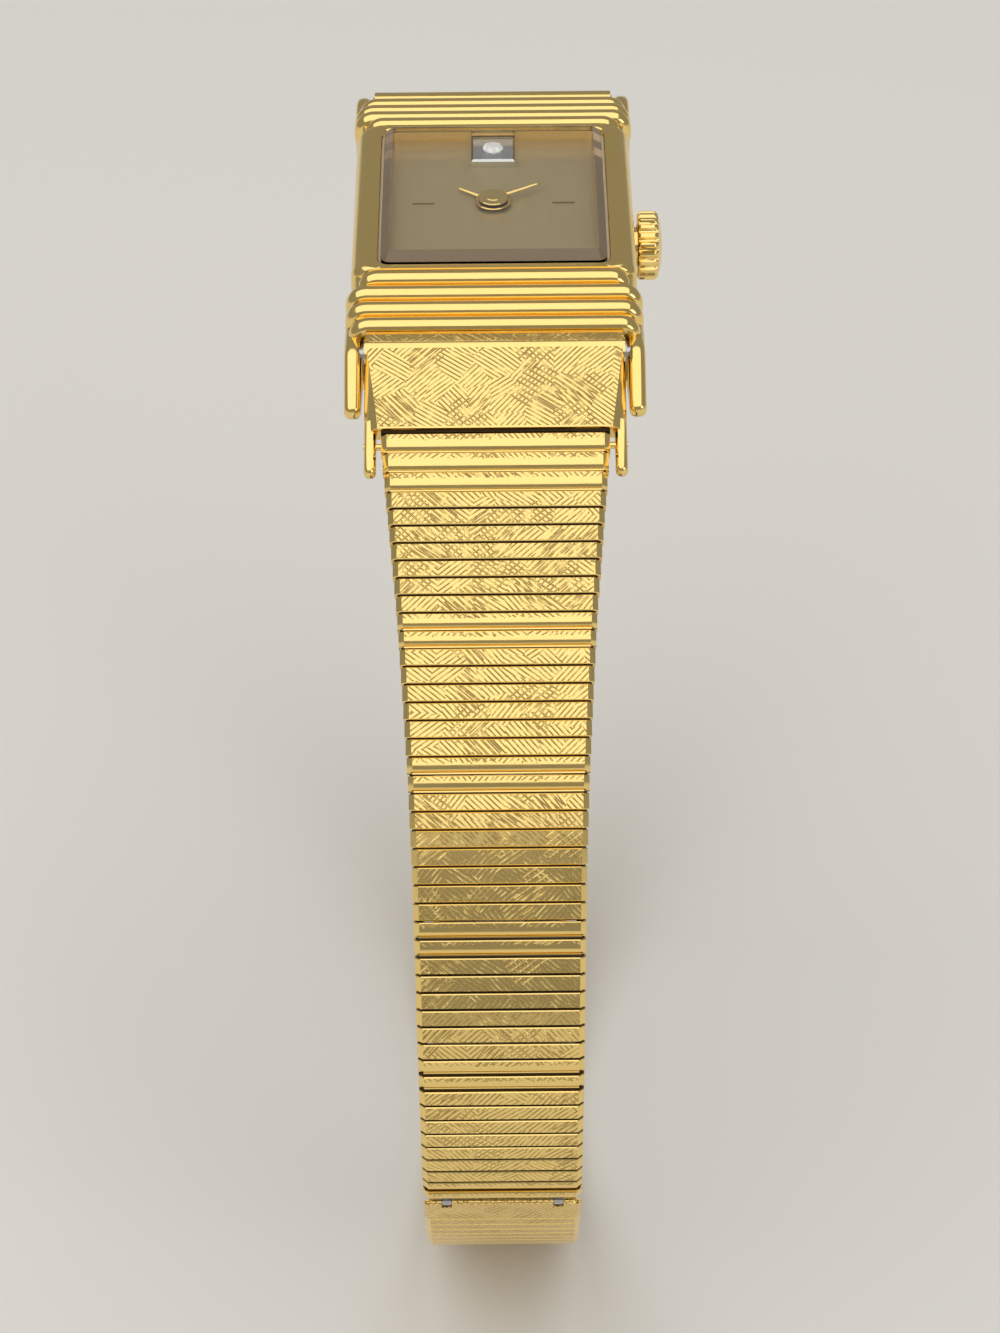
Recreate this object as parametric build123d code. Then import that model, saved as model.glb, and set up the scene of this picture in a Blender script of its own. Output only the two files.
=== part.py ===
from build123d import *
import math
import os

# A ladies' rectangular quartz watch on a closed strip bracelet, in millimetres.
# X points to the crown, -Y to six o'clock and Z up through the dial.
# The origin is the middle of the case back's outer face.

# Case
case_width = 17.0
rim_length = 16.7
end_length = 26.4
end_width = 16.5
back_thick = 0.75
rim_top = 6.1
rim_round = 1.1
corner_round = 0.7
end_top_inner = 5.6
end_top_outer = 4.9
cavity_width = 13.2
cavity_length = 15.2
cavity_round = 0.5

# Gadroon ribs on both ends of the case, counted outwards from the glass
rib_count = 4
rib_first = 8.9
rib_pitch = 1.27
rib_thick = 1.16
rib_edge_round = 0.52
rib_corner_round = 1.25
rib_depth = 2.9
rib_top_first = 6.2
rib_top_last = 5.4
rib_width_first = 16.2
rib_width_middle = 17.5
rib_width_last = 17.1

# Lugs and spring bars
lug_inner = 7.75
lug_thick = 1.0
lug_reach = 4.2
lug_root = 11.6
lug_root_top = 4.6
lug_top = 0.6
lug_bottom = 1.1
lug_round = 0.4
bar_y = 14.32
bar_z = 4.0
bar_radius = 0.6
bar_tip_radius = 0.35
bar_tip_length = 0.6

# Case back and its gasket
back_width = 15.0
back_length = 21.0
back_round = 1.6
spigot_width = 12.9
spigot_length = 14.9
spigot_height = 0.4
gasket_width = 14.1
gasket_length = 16.1
gasket_height = 0.3

# Crystal
crystal_width = 13.5
crystal_length = 15.5
crystal_thick = 1.2
crystal_bevel = 0.5
crystal_round = 0.6
crystal_low = 5.45
crystal_seal = 0.14
seal_height = 0.27
lip_width = 12.7
lip_length = 14.7

# Dial and what stands on it
dial_width = 13.0
dial_length = 15.0
dial_thick = 0.4
dial_top = 4.7
dial_hole = 0.75
setting_width = 2.7
setting_length = 2.9
setting_height = 0.5
setting_y = 5.75
setting_chamfer = 0.12
stone_radius = 0.65
stone_crown = 0.2
stone_pavilion = 0.35
stone_table_share = 0.55
mark_inner = 3.6
mark_outer = 4.95
mark_thick = 0.08
mark_height = 0.06

# Hands
minute_length = 3.4
minute_hub = 0.92
minute_low = 5.08
hour_length = 2.6
hour_hub = 1.1
hour_low = 4.86
hand_thick = 0.12
hand_wide = 0.34
hand_tip_wide = 0.16
minute_angle = 60.0
hour_angle = 305.0

# Movement
plate_width = 12.4
plate_length = 14.4
plate_low = 1.9
plate_round = 0.8
ring_wall = 0.3
ring_low = 1.35
bridge_thick = 0.4
train_roof = 3.6
motion_floor = 3.8
motion_radius = 1.5
train_module = 0.09
motion_module = 0.1
wheel_thick = 0.14
arbor_radius = 0.14
pivot_radius = 0.1
cannon_radius = 0.33
cannon_top = 5.24
hour_tube_radius = 0.6
hour_tube_bore = 0.4
centre_wheel_low = 3.25
third_wheel_low = 2.88
middle_wheel_low = 2.5
motion_wheel_low = 3.86
hour_wheel_low = 4.06
rotor_radius = 0.6
rotor_low = 1.98
rotor_high = 2.38
stator_low = 2.0
stator_thick = 0.2
stator_hole = 0.78
stator_width = 1.9
stator_length = 8.8
coil_y = 6.2
coil_length = 5.2
coil_radius = 0.58
core_width = 0.6
battery_radius = 2.4
battery_thick = 1.65
battery_low = 1.36
battery_x = 1.6
battery_y = -4.6
strap_thick = 0.15
strap_width = 1.4
screw_head = 0.4
screw_head_thick = 0.18
screw_shank = 0.2
screw_length = 0.8
screw_slot = 0.1
screw_bearing = 18.0
bridge_margin = 0.44
board_width = 4.6
board_length = 4.6
board_thick = 0.3
board_x = -3.5
board_y = -4.4
quartz_radius = 0.5
quartz_length = 3.2
quartz_x = -4.9
quartz_z = 2.55

# Crown, stem and setting lever
stem_z = 2.3
stem_radius = 0.45
stem_inner = 2.2
stem_groove = 0.25
groove_x = 5.35
groove_width = 0.36
pinion_radius = 0.7
pinion_length = 0.8
pinion_x = 3.0
crown_pull = 0.8
tube_radius = 1.15
tube_bore = 0.75
tube_end = 9.5
crown_radius = 2.12
crown_start = 8.8
crown_length = 1.3
crown_dome = 0.25
crown_bore = 1.3
crown_bore_depth = 1.05
crown_flutes = 22
flute_radius = 0.2
seal_x = 8.2
seal_length = 0.35
lever_arm = 2.1
lever_width = 0.5
lever_thick = 0.3
lever_low = 1.35
lever_pin = 0.11

# Bracelet strips
strip_pitch = 1.018
first_pitch = 1.186
strip_gap = 0.1
strip_sheet = 0.24
strip_rise = 0.5
strip_drop = 0.75
strip_edge = 0.05
strip_side_bevel = 0.32
strip_side_wall = 0.55
cut_depth = 0.19
cut_land_share = 0.42
cut_valley = 0.08
band_width_start = 13.3
band_width_end = 9.2
taper_shares = [(0, 0.0), (5, 0.24), (8, 0.37), (10, 0.46), (15, 0.62), (20, 0.76), (25, 0.85), (30, 0.9),
                (40, 0.97), (50, 1.0)]
knuckle_radius = 0.22
pin_radius = 0.11
rib_length = 0.5
carrier_share = 0.7
knuckle_share = 0.4

# End links
link_barrel = 0.9
link_thick = 1.3
link_length = 5.5
link_width = 15.1
link_bevel = 0.7
link_gap = 0.25
link_pin_radius = 0.2
link_pin_depth = 0.7
wing_inner = 6.85
wing_reach = 2.8
wing_top_drop = 0.15
wing_round = 0.5
first_rib_length = 0.86

# Clasp on the six o'clock half
clasp_length = 2.74
flap_thick = 0.3
flap_barrel = 0.2
flap_pin = 0.1
flap_axis_s = 0.45
frame_start = 0.78
frame_top = 0.12
frame_thick = 0.24
cheek_inset = 0.35
cheek_thick = 0.6
ear_inset = 1.1
ear_width = 0.5
ear_radius = 0.18
hook_width = 2.8
hook_start = 1.9
hook_length = 0.3
window_room = 0.15
tongue_top = -0.2
tongue_thick = 0.25
tongue_reach = 2.2
tongue_step = 0.85

# Clearances
running = 0.02
sliding = 0.05
seat = 0.1
side_room = 0.1
overrun = 1.0

# How the bracelet lies, in degrees below the dial plane, and its strips
six_droop = 25.0
six_strips = 46
six_bends = [(0, 31.0), (4, 34.9), (9, 38.7), (14, 42.5), (20, 47.7), (26, 55.5), (31, 65.5), (36, 76.8),
             (41, 89.6), (46, 104.0)]
clasp_droop = 112.0
six_sections = [11, 8, 8, 7, 5, 4, 3]
twelve_droop = 81.8
twelve_strips = 96
twelve_bends = [(0, 82.5), (20, 106.6), (34, 122.9), (48, 141.5), (62, 165.4), (72, 187.1), (78, 202.3),
                (84, 218.4), (90, 234.0), (96, 246.5)]
twelve_sections = [16, 24, 14, 14, 12, 10, 6]
closing_rounds = 20
closing_step = 0.001
wide_cuts = 3
first_cut = 11
cut_spacing = 8.5
cut_count = 10

# Teeth of the going train and of the motion work
centre_teeth = 36
third_teeth = 36
middle_teeth = 30
train_pinion = 6
cannon_teeth = 8
minute_teeth = 24
minute_pinion = 6
hour_teeth = 24
third_bearing = 100.0
middle_bearing = 160.0
rotor_bearing = 110.0
minute_bearing = -50.0
half_turn = 180.0
full_turn = 360.0


def slab(width, length, low, high, x=0, y=0):
    """A box from one height to another, centred on a place in plan."""
    return Pos(x, y, (low + high) / 2) * Box(width, length, high - low)


def soft_slab(width, length, low, high, corner):
    """A slab with its upright corners rounded."""
    return Pos(0, 0, low) * extrude(RectangleRounded(width, length, corner), high - low)


def frame_ring(outer_width, outer_length, outer_round, wall, low, high):
    """A rectangular ring of one wall thickness."""
    inner = soft_slab(outer_width - 2 * wall, outer_length - 2 * wall, low - overrun, high + overrun,
                      max(outer_round - wall, wall))
    return soft_slab(outer_width, outer_length, low, high, outer_round) - inner


def disc(radius, low, high, x=0, y=0):
    """An upright cylinder between two heights."""
    return Pos(x, y, (low + high) / 2) * Cylinder(radius, high - low)


def rod(radius, start, end, y=0, z=0):
    """A cylinder along X between two places."""
    return Pos((start + end) / 2, y, z) * Rot(0, 90, 0) * Cylinder(radius, end - start)


def side_face(points):
    """A face in the YZ plane from its corners."""
    return make_face(Plane.YZ * Polyline(*points, close=True))


def across(face, width, x=0):
    """Carries a YZ face along X by a width centred on x."""
    return Pos(x, 0, 0) * extrude(face, width / 2, dir=(1, 0, 0), both=True)


def polar(radius, angle):
    """A place in plan at a radius and an angle from the X axis."""
    return radius * math.cos(math.radians(angle)), radius * math.sin(math.radians(angle))


def gear(teeth, module, low, x, y, phase):
    """A toothed disc with slim straight-sided teeth and one tooth at the phase angle."""
    pitch_radius = teeth * module / 2
    step = full_turn / teeth
    outline_shares = [(-0.29, -1.2), (-0.12, 0.75), (0.12, 0.75), (0.29, -1.2)]
    points = []
    for tooth in range(teeth):
        for turn_share, height_share in outline_shares:
            angle = phase + (tooth + turn_share) * step
            points.append(polar(pitch_radius + height_share * module, angle))
    face = make_face(Polyline(*points, close=True))
    return Pos(x, y, low) * extrude(face, wheel_thick)


def place(u, z, droop, side):
    """Where a piece of the bracelet lies: side 0 is twelve o'clock and side 1 is six o'clock."""
    return Rot(0, 0, half_turn * side) * Pos(0, u, z) * Rot(-droop, 0, 0)


def step_along(u, z, droop, length):
    """The end of a straight step of the bracelet's axis line."""
    angle = math.radians(droop)
    return u + length * math.cos(angle), z - length * math.sin(angle)


def step_out(u, z, droop, height):
    """A point above the bracelet's axis line, square to it."""
    angle = math.radians(droop)
    return u + height * math.sin(angle), z + height * math.cos(angle)


def table_value(table, position):
    """Reads a table of pairs with straight lines between its points."""
    for (low, first), (high, second) in zip(table, table[1:]):
        if position <= high:
            return first + (second - first) * (position - low) / (high - low)
    return table[-1][1]


def strip_width(index):
    """The band's width at a strip, counted from the end link."""
    return band_width_start - table_value(taper_shares, index) * (band_width_start - band_width_end)


def is_cut(index):
    """Whether a strip, counted from one, has a polished cut."""
    starts = [int(first_cut + cut_spacing * k) for k in range(cut_count)]
    return index <= wide_cuts or index in starts or index - 1 in starts


def lay_strips(droops, link_droop):
    """Places strips one after another from the end link, each at its own droop."""
    u, z = step_along(bar_y, bar_z, link_droop, link_length + link_gap)
    u, z = step_out(u, z, link_droop, link_barrel - strip_rise)
    strips = []
    for number, droop in enumerate(droops, start=1):
        pitch = first_pitch if number <= wide_cuts else strip_pitch
        strips.append({"u": u, "z": z, "droop": droop, "pitch": pitch, "number": number})
        u, z = step_along(u, z, droop, pitch)
    return strips, u, z


def strip_droops(table, count):
    """Each strip's droop, read from a table at the strip's middle."""
    return [table_value(table, (2 * number + 1) / 2) for number in range(count)]


def six_half():
    """The strips of the six o'clock half, and where the clasp starts."""
    return lay_strips(strip_droops(six_bends, six_strips), six_droop)


def twelve_droops(tilt, bow):
    """The droops of the twelve o'clock half with two corrections, which fade out towards the clasp."""
    droops = strip_droops(twelve_bends, twelve_strips)
    shares = [(2 * number + 1) / (2 * twelve_strips) for number in range(twelve_strips)]
    return [droop + tilt * (1 - share) + bow * math.sin(math.pi * share)
            for droop, share in zip(droops, shares)]


def twelve_half():
    """The strips of the twelve o'clock half, with the corrections that make the loop close."""
    _, u, z = six_half()
    end_u, end_z = step_along(u, z, clasp_droop, clasp_length)

    def miss(tilt, bow):
        _, u, z = lay_strips(twelve_droops(tilt, bow), twelve_droop + tilt)
        return u + end_u, z - end_z

    tilt, bow, nudge = 0.0, 0.0, closing_step
    for _ in range(closing_rounds):
        miss_u, miss_z = miss(tilt, bow)
        by_tilt = [(a - b) / nudge for a, b in zip(miss(tilt + nudge, bow), (miss_u, miss_z))]
        by_bow = [(a - b) / nudge for a, b in zip(miss(tilt, bow + nudge), (miss_u, miss_z))]
        slope = by_tilt[0] * by_bow[1] - by_tilt[1] * by_bow[0]
        tilt -= (miss_u * by_bow[1] - miss_z * by_bow[0]) / slope
        bow -= (by_tilt[0] * miss_z - by_tilt[1] * miss_u) / slope
    strips, _, _ = lay_strips(twelve_droops(tilt, bow), twelve_droop + tilt)
    return strips, twelve_droop + tilt


def case_ribs():
    """Half-round ribs that step down both ends of the case and wrap round its flanks."""
    widths = [rib_width_first] + [rib_width_middle] * (rib_count - 2) + [rib_width_last]
    drop = (rib_top_first - rib_top_last) / (rib_count - 1)
    ribs = []
    for number, width in enumerate(widths):
        height = min(rib_depth, rib_top_first - number * drop - back_thick)
        outline = RectangleRounded(width, height, rib_corner_round)
        bar = extrude(Plane.XZ * outline, rib_thick / 2, both=True)
        rims = bar.faces().filter_by(Axis.Y).edges()
        bar = fillet(rims, rib_edge_round)
        top = rib_top_first - number * drop
        for side in (-1, 1):
            ribs.append(Pos(0, side * (rib_first + number * rib_pitch), top - height / 2) * bar)
    return ribs


def case_lugs():
    """Four slim lugs that point down beside the end links."""
    def beside(along, above):
        u, z = step_along(bar_y, bar_z, six_droop, along)
        return step_out(u, z, six_droop, above)

    points = [(lug_root, back_thick), (lug_root, lug_root_top), beside(-2 * lug_top, lug_top),
              beside(lug_reach - lug_top, lug_top), beside(lug_reach, 0),
              beside(lug_reach, -lug_top), beside(lug_reach - lug_top, -lug_bottom),
              (bar_y - lug_top, back_thick)]
    lug = across(side_face(points), lug_thick, lug_inner + lug_thick / 2)
    lug = fillet(lug.edges().filter_by(Axis.X).sort_by(Axis.Y)[-4:], lug_round)
    tip = rod(bar_tip_radius + running, 0, lug_inner + bar_tip_length + sliding, bar_y, bar_z)
    lug = lug - tip
    lugs = []
    for side in (0, 1):
        turned = Rot(0, 0, half_turn * side) * lug
        lugs.append(turned)
        lugs.append(mirror(turned, Plane.YZ))
    return lugs


def make_case_middle():
    """The case middle: rim, stepped ends with ribs, lugs and the crown's tube."""
    rim = soft_slab(case_width, rim_length, back_thick, rim_top, corner_round)
    long_edges = rim.edges().filter_by(Axis.Y).group_by(Axis.Z)[-1]
    rim = fillet(long_edges, rim_round - sliding)
    half_rim, half_end = rim_length / 2 - corner_round, end_length / 2
    outline = [(-half_end, back_thick), (-half_end, end_top_outer), (-half_rim, end_top_inner),
               (half_rim, end_top_inner), (half_end, end_top_outer), (half_end, back_thick)]
    ends = across(side_face(outline), end_width)
    tube = rod(tube_radius, case_width / 2 - rim_round, tube_end, 0, stem_z)
    body = rim + ends + tube
    for piece in case_ribs() + case_lugs():
        body = body + piece
    rebate = 2 * crystal_seal
    body = body - soft_slab(cavity_width, cavity_length, 0, dial_top, cavity_round)
    body = body - soft_slab(lip_width, lip_length, 0, rim_top + overrun, cavity_round)
    body = body - soft_slab(crystal_width + rebate, crystal_length + rebate, crystal_low,
                            rim_top + overrun, crystal_round + crystal_seal)
    body = body - soft_slab(gasket_width, gasket_length, 0, back_thick + gasket_height, cavity_round)
    return body - rod(tube_bore, cavity_width / 2 - overrun, tube_end + overrun, 0, stem_z)


def make_case_back():
    """The pressed-in back with its spigot."""
    plate = soft_slab(back_width, back_length, 0, back_thick, back_round)
    spigot = soft_slab(spigot_width, spigot_length, back_thick, back_thick + spigot_height, cavity_round)
    return plate + spigot


def make_back_gasket():
    """The seal between the back and the case middle."""
    wall = (gasket_width - spigot_width) / 2 - sliding
    return frame_ring(gasket_width - sliding, gasket_length - sliding, cavity_round, wall - sliding,
                      back_thick, back_thick + gasket_height)


def make_crystal():
    """The thick flat crystal with a wide polished bevel."""
    glass = soft_slab(crystal_width, crystal_length, crystal_low, crystal_low + crystal_thick,
                      crystal_round)
    return chamfer(glass.faces().sort_by(Axis.Z)[-1].edges(), crystal_bevel)


def make_crystal_gasket():
    """The thin seal around the crystal's foot."""
    return frame_ring(crystal_width + 2 * crystal_seal, crystal_length + 2 * crystal_seal,
                      crystal_round + crystal_seal, crystal_seal, crystal_low, crystal_low + seal_height)


def make_dial():
    """The dial plate with its two raised line marks."""
    plate = soft_slab(dial_width, dial_length, dial_top - dial_thick, dial_top, cavity_round / 2)
    plate = plate - disc(dial_hole, dial_top - overrun, dial_top + overrun)
    middle = (mark_inner + mark_outer) / 2
    for side in (-1, 1):
        mark = slab(mark_outer - mark_inner, mark_thick, dial_top, dial_top + mark_height, side * middle)
        plate = plate + mark
    return plate


def make_stone_setting():
    """The square setting at twelve, with a cone seat for its stone."""
    top = dial_top + setting_height
    block = slab(setting_width, setting_length, dial_top, top, 0, setting_y)
    block = chamfer(block.faces().sort_by(Axis.Z)[-1].edges(), setting_chamfer)
    seat_cone = Cone(stone_radius * (1 - stone_pavilion / setting_height), stone_radius, stone_pavilion)
    return block - Pos(0, setting_y, top - stone_pavilion / 2) * seat_cone


def make_stone():
    """A round stone: a cone-like pavilion and a faceted crown with a flat table."""
    top = dial_top + setting_height
    pavilion = Cone(stone_radius * (1 - stone_pavilion / setting_height), stone_radius, stone_pavilion)
    crown = Cone(stone_radius, stone_radius * stone_table_share, stone_crown)
    return Pos(0, setting_y, top - stone_pavilion / 2) * pavilion + Pos(
        0, setting_y, top + stone_crown / 2) * crown


def hand(length, hub, bore, low, bearing):
    """A slim baton hand with a round hub, at a bearing clockwise from twelve."""
    outline = [(-hand_wide / 2, 0), (hand_wide / 2, 0), (hand_tip_wide / 2, length),
               (-hand_tip_wide / 2, length)]
    baton = extrude(make_face(Polyline(*outline, close=True)), hand_thick)
    shape = baton + disc(hub, 0, hand_thick) - disc(bore, -overrun, overrun)
    return Pos(0, 0, low) * Rot(0, 0, -bearing) * shape


def train_places():
    """Where the arbors of the going train and the motion work stand."""
    third = polar((centre_teeth + train_pinion) * train_module / 2, third_bearing)
    reach = polar((third_teeth + train_pinion) * train_module / 2, middle_bearing)
    middle = (third[0] + reach[0], third[1] + reach[1])
    reach = polar((middle_teeth + train_pinion) * train_module / 2, rotor_bearing)
    rotor = (middle[0] + reach[0], middle[1] + reach[1])
    minute = polar((cannon_teeth + minute_teeth) * motion_module / 2, minute_bearing)
    return third, middle, rotor, minute


def hour_module():
    """The module that lets the hour wheel share the motion work's centre distance."""
    return motion_module * (cannon_teeth + minute_teeth) / (hour_teeth + minute_pinion)


def make_centre_wheel():
    """The centre wheel, its arbor and the cannon pinion that carries the minute hand."""
    low = plate_low - bridge_thick / 2
    shape = gear(centre_teeth, train_module, centre_wheel_low, 0, 0, third_bearing)
    shape = shape + disc(pivot_radius, low, plate_low + sliding)
    shape = shape + disc(arbor_radius, plate_low + sliding, centre_wheel_low)
    shape = shape + disc(cannon_radius, centre_wheel_low, cannon_top)
    return shape + gear(cannon_teeth, motion_module, motion_wheel_low, 0, 0, minute_bearing)


def arbor(x, y, high):
    """A pivoted arbor between the train bridge and the main plate's pocket roof."""
    low = plate_low - bridge_thick / 2
    shape = disc(pivot_radius, low, plate_low + sliding, x, y)
    shape = shape + disc(arbor_radius, plate_low + sliding, train_roof - sliding, x, y)
    return shape + disc(pivot_radius, train_roof - sliding, high, x, y)


def mesh_phase(bearing, teeth):
    """The phase that puts a gap of this gear opposite its neighbour's tooth."""
    return bearing + half_turn + half_turn / teeth


def make_third_wheel():
    """The third wheel and its pinion."""
    (x, y), _, _, _ = train_places()
    shape = arbor(x, y, train_roof + pivot_radius)
    shape = shape + gear(train_pinion, train_module, centre_wheel_low, x, y,
                         mesh_phase(third_bearing, train_pinion))
    return shape + gear(third_teeth, train_module, third_wheel_low, x, y, middle_bearing)


def make_intermediate_wheel():
    """The intermediate wheel and its pinion."""
    _, (x, y), _, _ = train_places()
    shape = arbor(x, y, train_roof + pivot_radius)
    shape = shape + gear(train_pinion, train_module, third_wheel_low, x, y,
                         mesh_phase(middle_bearing, train_pinion))
    return shape + gear(middle_teeth, train_module, middle_wheel_low, x, y, rotor_bearing)


def make_rotor():
    """The magnet rotor and its pinion."""
    _, _, (x, y), _ = train_places()
    shape = arbor(x, y, train_roof + pivot_radius) + disc(rotor_radius, rotor_low, rotor_high, x, y)
    return shape + gear(train_pinion, train_module, middle_wheel_low, x, y,
                        mesh_phase(rotor_bearing, train_pinion))


def make_minute_wheel():
    """The minute wheel of the motion work and its pinion."""
    _, _, _, (x, y) = train_places()
    shape = gear(minute_teeth, motion_module, motion_wheel_low, x, y,
                 mesh_phase(minute_bearing, minute_teeth))
    shape = shape + disc(arbor_radius, motion_floor - pivot_radius, hour_wheel_low + wheel_thick, x, y)
    return shape + gear(minute_pinion, hour_module(), hour_wheel_low, x, y,
                        mesh_phase(minute_bearing, minute_pinion))


def make_hour_wheel():
    """The hour wheel and the tube that carries the hour hand."""
    shape = gear(hour_teeth, hour_module(), hour_wheel_low, 0, 0, minute_bearing)
    shape = shape + disc(hour_tube_radius, hour_wheel_low, hour_low + hand_thick)
    return shape - disc(hour_tube_bore, hour_wheel_low - overrun, hour_low + overrun)


def make_movement_ring():
    """The plastic ring that centres the movement in the case."""
    ring = frame_ring(cavity_width - seat, cavity_length - seat, cavity_round, ring_wall,
                      ring_low, dial_top - dial_thick)
    ring = ring - rod(tube_bore, 0, cavity_width, 0, stem_z)
    return ring - slab(cavity_width, 2 * tube_bore, ring_low - overrun, stem_z, cavity_width / 2)


def make_main_plate():
    """The main plate, hollowed for the train, battery, coil, quartz and stem."""
    third, middle, rotor, minute = train_places()
    top = dial_top - dial_thick
    plate = soft_slab(plate_width, plate_length, plate_low, top, plate_round)
    wheel_room = (centre_teeth / 2 + 1) * train_module + side_room
    for x, y in ((0, 0), third, middle, rotor):
        plate = plate - disc(wheel_room, plate_low - overrun, train_roof, x, y)
        plate = plate - disc(pivot_radius + running, train_roof - overrun, train_roof + 2 * pivot_radius, x, y)
    for x, y in ((0, 0), minute):
        plate = plate - disc(motion_radius, motion_floor, top + overrun, x, y)
    plate = plate - disc(arbor_radius + running, motion_floor - 2 * pivot_radius, top, *minute)
    plate = plate - disc(cannon_radius + running, plate_low, top)
    plate = plate - disc(battery_radius + seat, plate_low - overrun, battery_low + battery_thick + seat,
                         battery_x, battery_y)
    core_room = stator_low + 2 * stator_thick + sliding
    stator_y = rotor[1] - stator_width / 2 - seat
    plate = plate - slab(stator_length + seat, plate_length / 2 - stator_y, plate_low - overrun,
                         core_room, 0, (plate_length / 2 + stator_y) / 2)
    coil_room = 2 * (coil_radius + seat)
    plate = plate - slab(coil_length + 4 * seat, coil_room, plate_low - overrun,
                         core_room + coil_radius, 0, coil_y)
    quartz_room = 2 * (quartz_radius + seat)
    plate = plate - slab(quartz_room, quartz_length + seat, plate_low - overrun,
                         quartz_z + quartz_radius + seat, quartz_x, board_y)
    plate = plate - stem_room()
    for x, y in screw_places():
        plate = plate - disc(screw_shank, plate_low - overrun, plate_low + screw_length, x, y)
    return plate


def stem_room():
    """The room that the stem and its sliding pinion need in the movement."""
    pinion_room = 2 * (pinion_radius + seat)
    reach = pinion_length + crown_pull + 2 * seat
    room = slab(reach, pinion_room, plate_low - overrun, stem_z + pinion_radius + seat,
                pinion_x - pinion_length / 2 - seat + reach / 2)
    slot_start = stem_inner - seat
    slot = slab(plate_width - slot_start, 2 * (stem_radius + sliding), plate_low - overrun,
                stem_z + stem_radius + sliding, slot_start + (plate_width - slot_start) / 2)
    return room + slot


def screw_places():
    """Where the train bridge is screwed down."""
    third, middle, _, _ = train_places()
    wheel_room = (centre_teeth / 2 + 1) * train_module + side_room
    reach = wheel_room + 2 * screw_head
    beside = polar(reach, screw_bearing)
    return [polar(reach, screw_bearing + half_turn + screw_bearing),
            (third[0] + beside[0], third[1] + beside[1]),
            (middle[0] - reach, middle[1] - 2 * screw_head)]


def make_train_bridge():
    """The bridge that holds the train's lower pivots."""
    third, middle, rotor, _ = train_places()
    places = screw_places()
    low_x, high_x = places[2][0] - bridge_margin, places[1][0] + bridge_margin
    low_y, high_y = places[0][1] - bridge_margin, rotor[1] + rotor_radius / 2
    low = plate_low - bridge_thick
    bridge = Pos((low_x + high_x) / 2, (low_y + high_y) / 2, low) * extrude(
        RectangleRounded(high_x - low_x, high_y - low_y, screw_head), bridge_thick)
    bridge = bridge - stem_room()
    for x, y in ((0, 0), third, middle, rotor):
        bridge = bridge - disc(pivot_radius + running, low - overrun, plate_low + overrun, x, y)
    for x, y in places:
        bridge = bridge - disc(screw_shank, low - overrun, plate_low + overrun, x, y)
    return bridge


def make_bridge_screws():
    """The three slotted screws of the train bridge."""
    low = plate_low - bridge_thick
    screws = []
    for x, y in screw_places():
        screw = disc(screw_head, low - screw_head_thick, low, x, y)
        screw = screw + disc(screw_shank, low, plate_low + screw_length, x, y)
        slot = slab(2 * screw_head, screw_slot, low - screw_head_thick, low - screw_head_thick / 2, x, y)
        screws.append(screw - slot)
    return Compound(screws)


def make_stator():
    """The stator plate round the rotor, with arms up to the coil's core."""
    _, _, (x, y), _ = train_places()
    high = stator_low + stator_thick
    plate = slab(stator_length, stator_width, stator_low, high, 0, y)
    arm_length = coil_y + core_width / 2 - y
    for side in (-1, 1):
        arm = slab(core_width, arm_length, stator_low, high,
                   side * (stator_length - core_width) / 2, y + arm_length / 2)
        plate = plate + arm
    return plate - disc(stator_hole, stator_low - overrun, high + overrun, x, y)


def make_coil():
    """The coil's winding, as its outer shape with flanges, over the core's bore."""
    low = stator_low + stator_thick
    middle = low + stator_thick / 2
    winding = rod(coil_radius - sliding, -coil_length / 2, coil_length / 2, coil_y, middle)
    for side in (-1, 1):
        edge = side * coil_length / 2
        winding = winding + rod(coil_radius, edge - seat, edge + seat, coil_y, middle)
    return winding - slab(coil_length + overrun, core_width, low, low + stator_thick, 0, coil_y)


def make_coil_core():
    """The soft iron core that the coil is wound on."""
    low = stator_low + stator_thick
    return slab(stator_length, core_width, low, low + stator_thick, 0, coil_y)


def make_battery():
    """The button cell: a can with a smaller cap."""
    cap = battery_radius - 2 * ring_wall
    can_low = battery_low + battery_thick / 8
    shape = disc(cap, battery_low, can_low, battery_x, battery_y)
    shape = shape + disc(battery_radius, can_low, battery_low + battery_thick, battery_x, battery_y)
    return shape


def make_battery_clamp():
    """The sprung strap across the button cell."""
    length = 2 * battery_radius + strap_width
    strap = slab(length, strap_width, battery_low - strap_thick, battery_low, battery_x, battery_y)
    foot = slab(strap_width / 2, strap_width, battery_low, plate_low,
                battery_x + battery_radius + seat + strap_width / 4, battery_y)
    return strap + foot


def make_circuit_board():
    """The circuit board with its chip."""
    board = slab(board_width, board_length, plate_low - board_thick, plate_low, board_x, board_y)
    board = board - slab(2 * (quartz_radius + seat), quartz_length + seat, 0, plate_low + overrun,
                         quartz_x, board_y)
    chip = slab(board_thick * 4, board_thick * 4, plate_low - 2 * board_thick + sliding,
                plate_low - board_thick, board_x + board_width / 4, board_y)
    clear = disc(battery_radius + 2 * seat, 0, plate_low + overrun, battery_x, battery_y)
    return board + chip - clear


def make_quartz_can():
    """The quartz crystal's can."""
    can = Pos(quartz_x, board_y, quartz_z) * Rot(90, 0, 0) * Cylinder(quartz_radius, quartz_length)
    return can


def make_winding_stem():
    """The stem with its groove for the setting lever."""
    end = crown_start + crown_bore_depth
    stem = rod(stem_radius, stem_inner, end, 0, stem_z)
    collar = rod(stem_radius + overrun, groove_x - groove_width / 2, groove_x + groove_width / 2, 0, stem_z)
    neck = rod(stem_groove, groove_x - groove_width, groove_x + groove_width, 0, stem_z)
    return stem - collar + neck


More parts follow.
